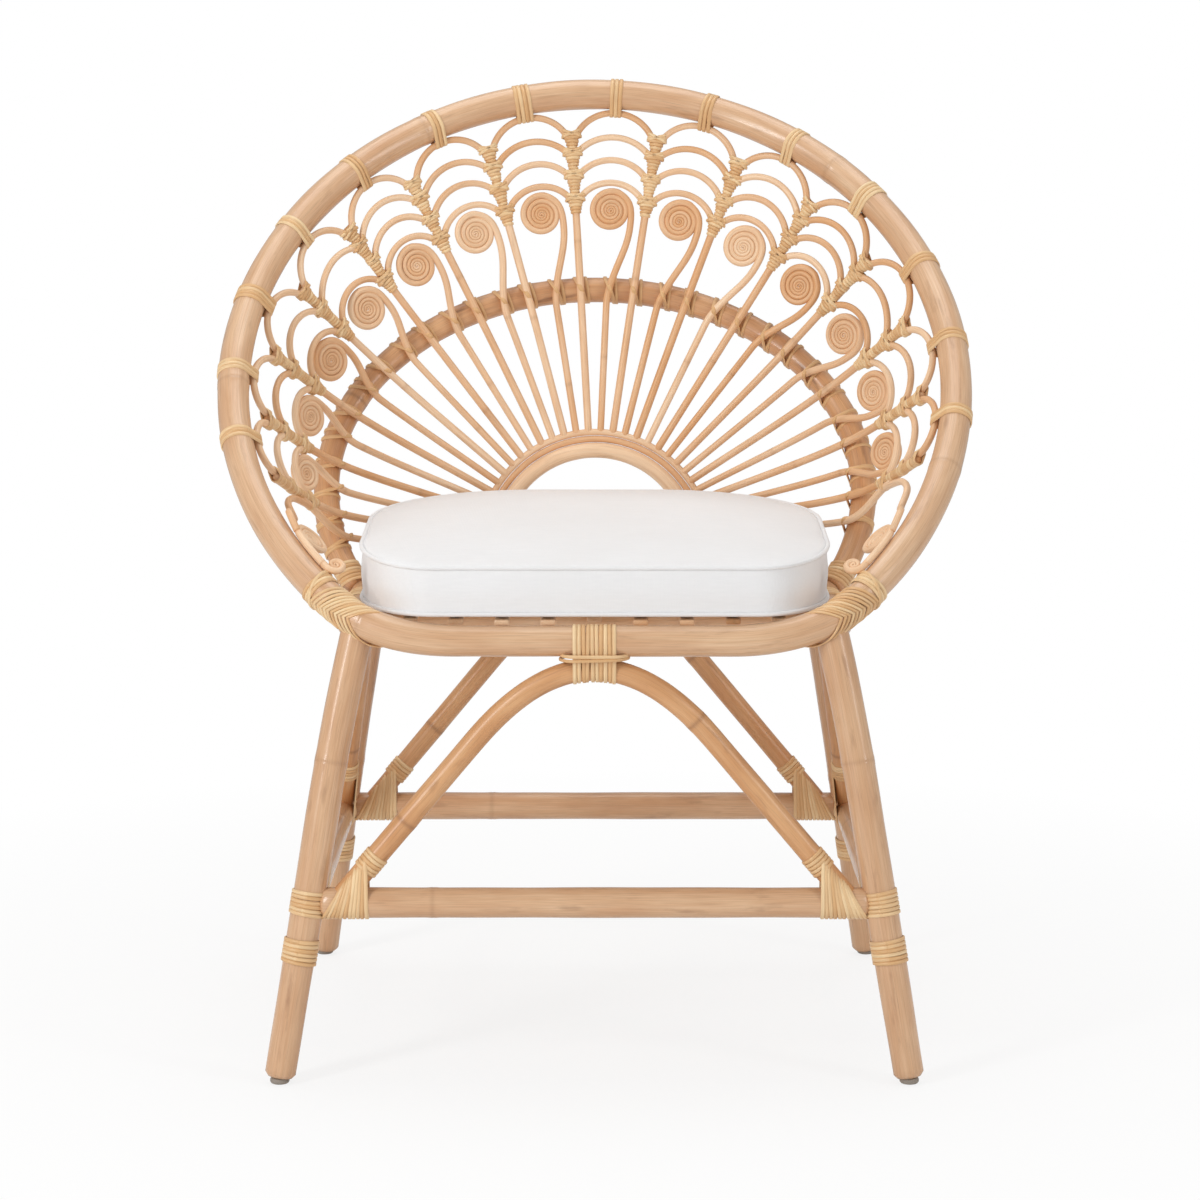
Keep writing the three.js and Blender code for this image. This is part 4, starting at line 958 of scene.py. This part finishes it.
footLashing = dict(count=11, pitch=4.1, width=4.1, spread=19.0, braceTurns=5, braceFrom=39.5, nearEnd=20)
crownLashing = dict(count=10, pitch=4.05, width=4.0, beltEnd=15.0, beltRadius=15.4, beltPitch=3.6,
                    belt=dict(width=3.2, lift=1.4))
outOf = dict(front=frontOut, back=-frontOut, side_right=vec(1, 0, 0), side_left=vec(-1, 0, 0))
for bay, (ends, brace, suffix) in bays.items():
    stem = bay.split('_')[0]
    strands = []
    for end, path in ((ends, brace), (ends[::-1], brace[::-1])):
        axis = unit(end[1] - end[0])
        near = path[:footLashing['nearEnd']]
        reach = (near - end[0]) @ axis
        for k in range(footLashing['count']):   # they spread out below and crowd together on the brace
            place = pole['radius'] - 1.5 + k * footLashing['pitch']
            top = place + footLashing['spread'] * (1 - k / (footLashing['count'] - 1))
            lift = squareTo(readAt(top, reach, near) - end[0], axis)
            high = norm(lift)
            x = lift / high if high > 2 else unit(squareTo(up, axis))
            slant = (top - place) / (high + pole['brace'] + pole['stretcher'])
            tied = [(0, 0, pole['stretcher'] + 0.2), (high, 0, pole['brace'] + 0.9)]
            centre = end[0] + axis * (place + slant * pole['stretcher'])
            strands.append(strand(centre, x, axis, tied, slant=slant, width=footLashing['width']))
        start = np.interp(pole['radius'] + footLashing['braceFrom'], reach, lengthsOf(near)) - 1
        strands += wrapRun(path, start, footLashing['braceTurns'], pole['brace'], towards=outOf[bay])
    windCane(f'{stem}_stretcher_lashing{suffix}', strands, 22)

    crown = brace[len(brace) // 2 - 1:len(brace) // 2 + 1].mean(axis=0)
    axis = unit(squareTo(unit(ends[1] - ends[0]), up))
    size = railSize(0.5) if stem == 'front' else pole['radius']
    strands = []
    for k in range(crownLashing['count']):
        place = (k - (crownLashing['count'] - 1) / 2) * crownLashing['pitch']
        low = readAt(place, (brace - crown) @ axis, brace)
        high = vec(*crown[:2], seat['height']) + axis * place
        if stem == 'front':
            high = vec(high[0], seat['railFrontY'], seat['height'])
        tied = [(0, 0, size + 0.2), (high[2] - low[2], 0, pole['brace'] + 0.3)]
        strands.append(strand(high, -up, axis, tied, width=crownLashing['width']))
    tied = [(end * crownLashing['beltEnd'], 0, crownLashing['beltRadius']) for end in (-1, 1)]
    for k in range(2):   # the lashing is drawn in across its middle
        beltZ = seat['height'] - pole['radius'] - 0.5 + k * crownLashing['beltPitch']
        strands.append(strand(vec(*crown[:2], beltZ), axis, up, tied, **crownLashing['belt']))
    windCane(f'{stem}_crown_lashing{suffix}', strands, 22)
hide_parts('front_lashing')
print('frame lashed')

# seat slats on two cross rods
slats = dict(count=9, pitch=43.0, width=14.0, thick=5.5, top=434.5, bevel=1.6, crossRadius=8.0)
bottom = slats['top'] - slats['thick']


def railGap(x):   # how far a slat stops behind the middle of the rail
    return pole['radius'] * (2 if abs(x) < 35 else 0.5 if abs(x) < 100 else 0.9)


bars = []
for k in range(slats['count']):
    x = (k - (slats['count'] - 1) / 2) * slats['pitch']
    cut = max(abs(x) + slats['width'] / 2 - inset, 0)
    back = seat['backY'] - 2 * pole['radius'] - seat['corner'] + sqrt(seat['corner'] ** 2 - cut**2)
    front = np.interp(abs(x), railSide[::-1, 0], railSide[::-1, 1]) + railGap(x)
    size = np.array((slats['width'], back - front, slats['thick'])) / 1000
    middle = toRow(vec(x, (back + front) / 2, bottom + slats['thick'] / 2))
    deselectAll()
    bpy.ops.mesh.primitive_cube_add(size=1, location=middle, scale=size)
    bpy.ops.object.transform_apply()
    bar = bpy.context.object
    editAll((bpy.ops.mesh.bevel, dict(offset=slats['bevel'] / 1000, segments=2)))
    grain = spotsOf(bar)[:, (0, 2, 1)] * 1000
    setGrain(bar.data, grain + random.random() * 300, random.random() * 0.6)
    bars.append(bar)
rodZ = bottom - slats['crossRadius'] * sqrt(0.5) + 1.5
half = seat['halfWidth'] - 8
cross = [rod(np.array((vec(-w, y, rodZ), vec(w, y, rodZ))), slats['crossRadius'], 12)
         for y, w in ((seat['railFrontY'] + 75, half), (seat['backY'] - 62, half - 20))]
bars.append(sweepRods('cross_rods', cross, 12))
deselectAll()
for bar in bars:
    bar.select_set(True)
bpy.context.view_layer.objects.active = bars[-1]
bpy.ops.object.join()
slatPiece = bpy.context.object
slatPiece.name = slatPiece.data.name = 'seat_slat_bars'
settle(slatPiece, coreRod, replaces=('seat_slats',))

# foot glides: a turned dome under each leg
glide = dict(radius=9.0, height=6.0, bevel=2.4)
dull = newFinish('glideGrey')
place = dull.node('TexCoord', {}, {}, 'Object')
speck = dull.noise(place, (900, 900, 900), 3)
grey = dull.mix(speck, srgb(142, 132, 122), srgb(166, 157, 147))
dull.surface(Base_Color=grey, Roughness=0.4 + 0.25 * speck)
for name, side, path in legs:
    foot = toRow(atHeight(path, glide['height']))
    deselectAll()
    bpy.ops.mesh.primitive_cylinder_add(vertices=32, radius=glide['radius'] / 1000,
                                        depth=glide['height'] / 1000,
                                        location=(foot[0], foot[1], glide['height'] / 2000))
    bpy.ops.object.transform_apply()
    editAll((bpy.ops.mesh.bevel, dict(offset=glide['bevel'] / 1000, segments=4)))
    bpy.ops.object.shade_smooth_by_angle(angle=radians(40))
    dome = bpy.context.object
    dome.name = dome.data.name = f'{name}_foot_dome_{side}'
    settle(dome, dull.owner, replaces=(f'{name}_glide_{side}',))
print('slats and glides made')

# loose cushion: boxed sides between two piped seams, filled and puffed
pad = dict(halfWidth=226.0, frontY=-214.0, backY=196.0, edge=51.0, rise=22.0, crown=7.0, backCorner=165.0,
           cornerX=75.0, cornerY=130.0, bottom=434.8, tuck=3.0, piping=2.2, pipingInset=2.4, topLift=2.5,
           mostPuff=14.0)
puffing = dict(quality=6, mass=0.25, tension_stiffness=12, compression_stiffness=12, bending_stiffness=0.8,
               use_pressure=True, uniform_pressure_force=2.2, vertex_group_mass='seam')


def padOutline(grow, count=200):   # straight front, rounded corners, wide round back
    w, front, back = pad['halfWidth'] + grow, pad['frontY'] - grow, pad['backY'] + grow
    cx, cy, r = pad['cornerX'] + grow, pad['cornerY'] + grow, pad['backCorner'] + grow
    turn = np.linspace(0, pi / 2, 40)
    frontBend = np.column_stack((w - cx + cx * np.sin(turn), front + cy - cy * np.cos(turn), np.zeros(40)))
    backBend = np.column_stack((w - r + r * np.cos(turn), back - r + r * np.sin(turn), np.zeros(40)))
    half = np.concatenate((frontBend, backBend))
    ring = np.concatenate((half, mirrored(half)[::-1], half[:1]))
    return along(ring, np.linspace(0, lengthsOf(ring)[-1], count + 1)[:-1])


def padTop(y):   # the top seam climbs toward the back
    return pad['bottom'] + pad['edge'] + pad['rise'] * (y - pad['frontY']) / (pad['backY'] - pad['frontY'])


def padRing(grow, share, lift, count=200):   # round the pad, a share of the way up its side
    ring = padOutline(grow, count)
    ring[:, 2] = pad['bottom'] + share * (padTop(ring[:, 1]) - pad['bottom']) + lift
    return ring


cotton = newFinish('cottonCover')
place = cotton.node('TexCoord', {}, {}, 'Object')
threads = {'Vector': place, 'Scale': 210, 'Distortion': 0.6, 'Detail': 1}
weaveX, weaveY = (cotton.node('TexWave', {'bands_direction': way}, threads, 1) for way in 'XY')
slub = cotton.noise(place, (60, 420, 420), 3)
soft = cotton.noise(place, (9, 9, 9), 3)
cloth = cotton.mix(slub, srgb(243, 243, 244), srgb(235, 235, 236))
cloth = cotton.mix(ramp(cotton, soft, (0.35, 0), (0.75, 0.5)), cloth, srgb(232, 231, 231))
height = weaveX * 0.25 + weaveY * 0.25 + slub * 0.3 + soft * 2.2
normal = cotton.node('Bump', {}, {'Strength': 0.35, 'Distance': 0.0009, 'Height': height})
cotton.surface(Base_Color=cloth, Roughness=0.86 + 0.1 * slub, Normal=normal)
cotton.surface(Sheen_Weight=0.25, Sheen_Roughness=0.5)

# how far out, share of the height and lift, from under the pad round its sides to the edge of its top
levels = [(-30, 0, 0), (-14, 0, 0.8), (-4.5, 0, 3.4), (-3, 0, 6), (-3.4, 0, 12), (-1.6, 0.5, 0),
          (-3.4, 1, -9), (-3, 1, -3), (-4.5, 1, -0.4), (-14, 1, pad['topLift'])]
rings = [padRing(*level) for level in levels]
centre = vec(0, (pad['frontY'] + pad['backY']) / 2, 0)
for share in (0.8, 0.6, 0.4, 0.2):
    ring = (padOutline(levels[-1][0]) - centre) * share + centre
    ring[:, 2] = padTop(ring[:, 1]) + pad['topLift'] + (pad['crown'] - pad['topLift']) * (1 - share**2.2)
    rings.append(ring)
count = len(rings[0])
faces = [(r * count + i, r * count + (i + 1) % count, (r + 1) * count + (i + 1) % count, (r + 1) * count + i)
         for r in range(len(rings) - 1) for i in range(count)]
faces += [tuple(range(count))[::-1], tuple((len(rings) - 1) * count + i for i in range(count))]
mesh = bpy.data.meshes.new('seat_pad')
mesh.from_pydata(toRow(np.concatenate(rings)).tolist(), [], faces)
seatPad = bpy.data.objects.new('seat_pad', mesh)
bpy.context.collection.objects.link(seatPad)
deselectAll()
seatPad.select_set(True)
bpy.context.view_layer.objects.active = seatPad
mesh.remesh_voxel_size = 0.006
bpy.ops.object.voxel_remesh()
before = spotsOf(seatPad)
seam = seatPad.vertex_groups.new(name='seam')
edgeRing = toRow(padOutline(-3, 400))[:, :2]
for z in (pad['bottom'] + pad['tuck'] + 3, padTop(before[:, 1] * 1000 - rowShift[1]) - 3):
    level = np.abs(before[:, 2] - z / 1000) < 0.006
    for i in np.nonzero(level)[0]:
        if np.min(np.hypot(*(edgeRing - before[i, :2]).T)) < 0.0045:
            seam.add([int(i)], 1.0, 'REPLACE')
bpy.ops.object.modifier_add(type='CLOTH')
puff = seatPad.modifiers['Cloth']
for key, value in puffing.items():
    setattr(puff.settings, key, value)
puff.settings.effector_weights.gravity = 0
puff.collision_settings.use_collision = False
for step in range(1, 21):
    bpy.context.scene.frame_set(step)
bpy.ops.object.modifier_apply(modifier='Cloth')
bpy.context.scene.frame_set(1)
moved = spotsOf(seatPad) - before
far = norm(moved, axis=1)[:, None]
puffed = before + moved * np.minimum(1, pad['mostPuff'] / 1000 / np.maximum(far, 1e-9))
puffed[:, 2] = np.maximum(puffed[:, 2], pad['bottom'] / 1000)
seatPad.data.vertices.foreach_set('co', puffed.ravel())
seatPad.vertex_groups.clear()
bpy.ops.object.modifier_add(type='SUBSURF')
bpy.ops.object.modifier_apply(modifier='Subdivision')
bpy.ops.object.shade_smooth()
settle(seatPad, cotton.owner, 'cushion', ('seat_cushion',))

welts = []
for share, lift in ((0, pad['tuck'] + pad['piping']), (1, -pad['piping'])):
    ring = padRing(-pad['pipingInset'], share, lift, 300)
    welts.append(rod(np.concatenate((ring, ring[:1])), pad['piping'], 5, closed=True))
settle(sweepRods('seat_pad_piping', welts, 10), cotton.owner, 'cushion')
print('cushion filled')

# studio
studio = dict(floor=3.2, ambient=0.485)
softboxes = (('key_softbox', (-1.9, -2.0, 1.5), (0, 0, 0.5), (0.45, 1.8), 34.0),   # place, aim, size, watts
             ('side_softbox', (2.3, -1.7, 1.5), (0, 0, 0.5), (0.5, 1.6), 15.0),
             ('top_softbox', (0, 0.4, 2.6), (0, 0, 0.4), (1.8, 1.4), 17.0))
deselectAll()
bpy.ops.mesh.primitive_plane_add(size=2 * studio['floor'], location=(0, 0.6, -0.0005))
floor = bpy.context.object
floor.name = 'studio_floor'
paper = newFinish('floorPaper')
glow = paper.node('Emission', {}, {'Color': (1, 1, 1, 1), 'Strength': 1.0})
paper.surface(Base_Color=(0.93, 0.93, 0.93, 1), Roughness=0.9)
path = paper.node('LightPath', {}, {}, 'Is Camera Ray')
place = paper.node('TexCoord', {}, {}, 'Object')
far = paper.node('VectorMath', {'operation': 'DISTANCE'}, {0: place, 1: (0, -0.6, 0)}, 1)
fade = ramp(paper, far * 0.5, (0.16, 0.80), (0.60, 1))   # the paper runs out to white
paper.choose(path * fade, glow)
floor.data.materials.append(paper.owner)

air = Finish(bpy.data.worlds.new('studioAir'), 'Background')
air.surface(Color=(1, 0.995, 0.985, 1), Strength=studio['ambient'])
straight, through = (air.node('LightPath', {}, {}, kind) for kind in ('Is Camera Ray', 'Is Transmission Ray'))
seen = air.node('Math', {'operation': 'MAXIMUM'}, {0: straight, 1: through})
air.choose(seen, air.node('Background', {}, {'Color': (1, 1, 1, 1)}))
bpy.context.scene.world = air.owner

for name, place, aim, size, power in softboxes:
    bpy.ops.object.light_add(type='AREA', location=place)
    lamp = bpy.context.object
    lamp.name = name
    lamp.data.shape = 'RECTANGLE'
    lamp.data.size, lamp.data.size_y = size
    lamp.data.energy = power
    away = unit(np.array(aim) - np.array(place))
    lamp.rotation_euler = (acos(-away[2]), 0, atan2(away[0], -away[1]) + pi)

view = dict(place=(0.0060, -3.3303, 0.9299), pitch=0.153, lens=101.304)
bpy.ops.object.camera_add(location=view['place'], rotation=(pi / 2 - view['pitch'], 0, 0))
camera = bpy.context.object
camera.data.sensor_width = 36
camera.data.lens = view['lens']
bpy.context.scene.camera = camera
bpy.context.scene.view_settings.view_transform = 'Standard'
print('studio set')
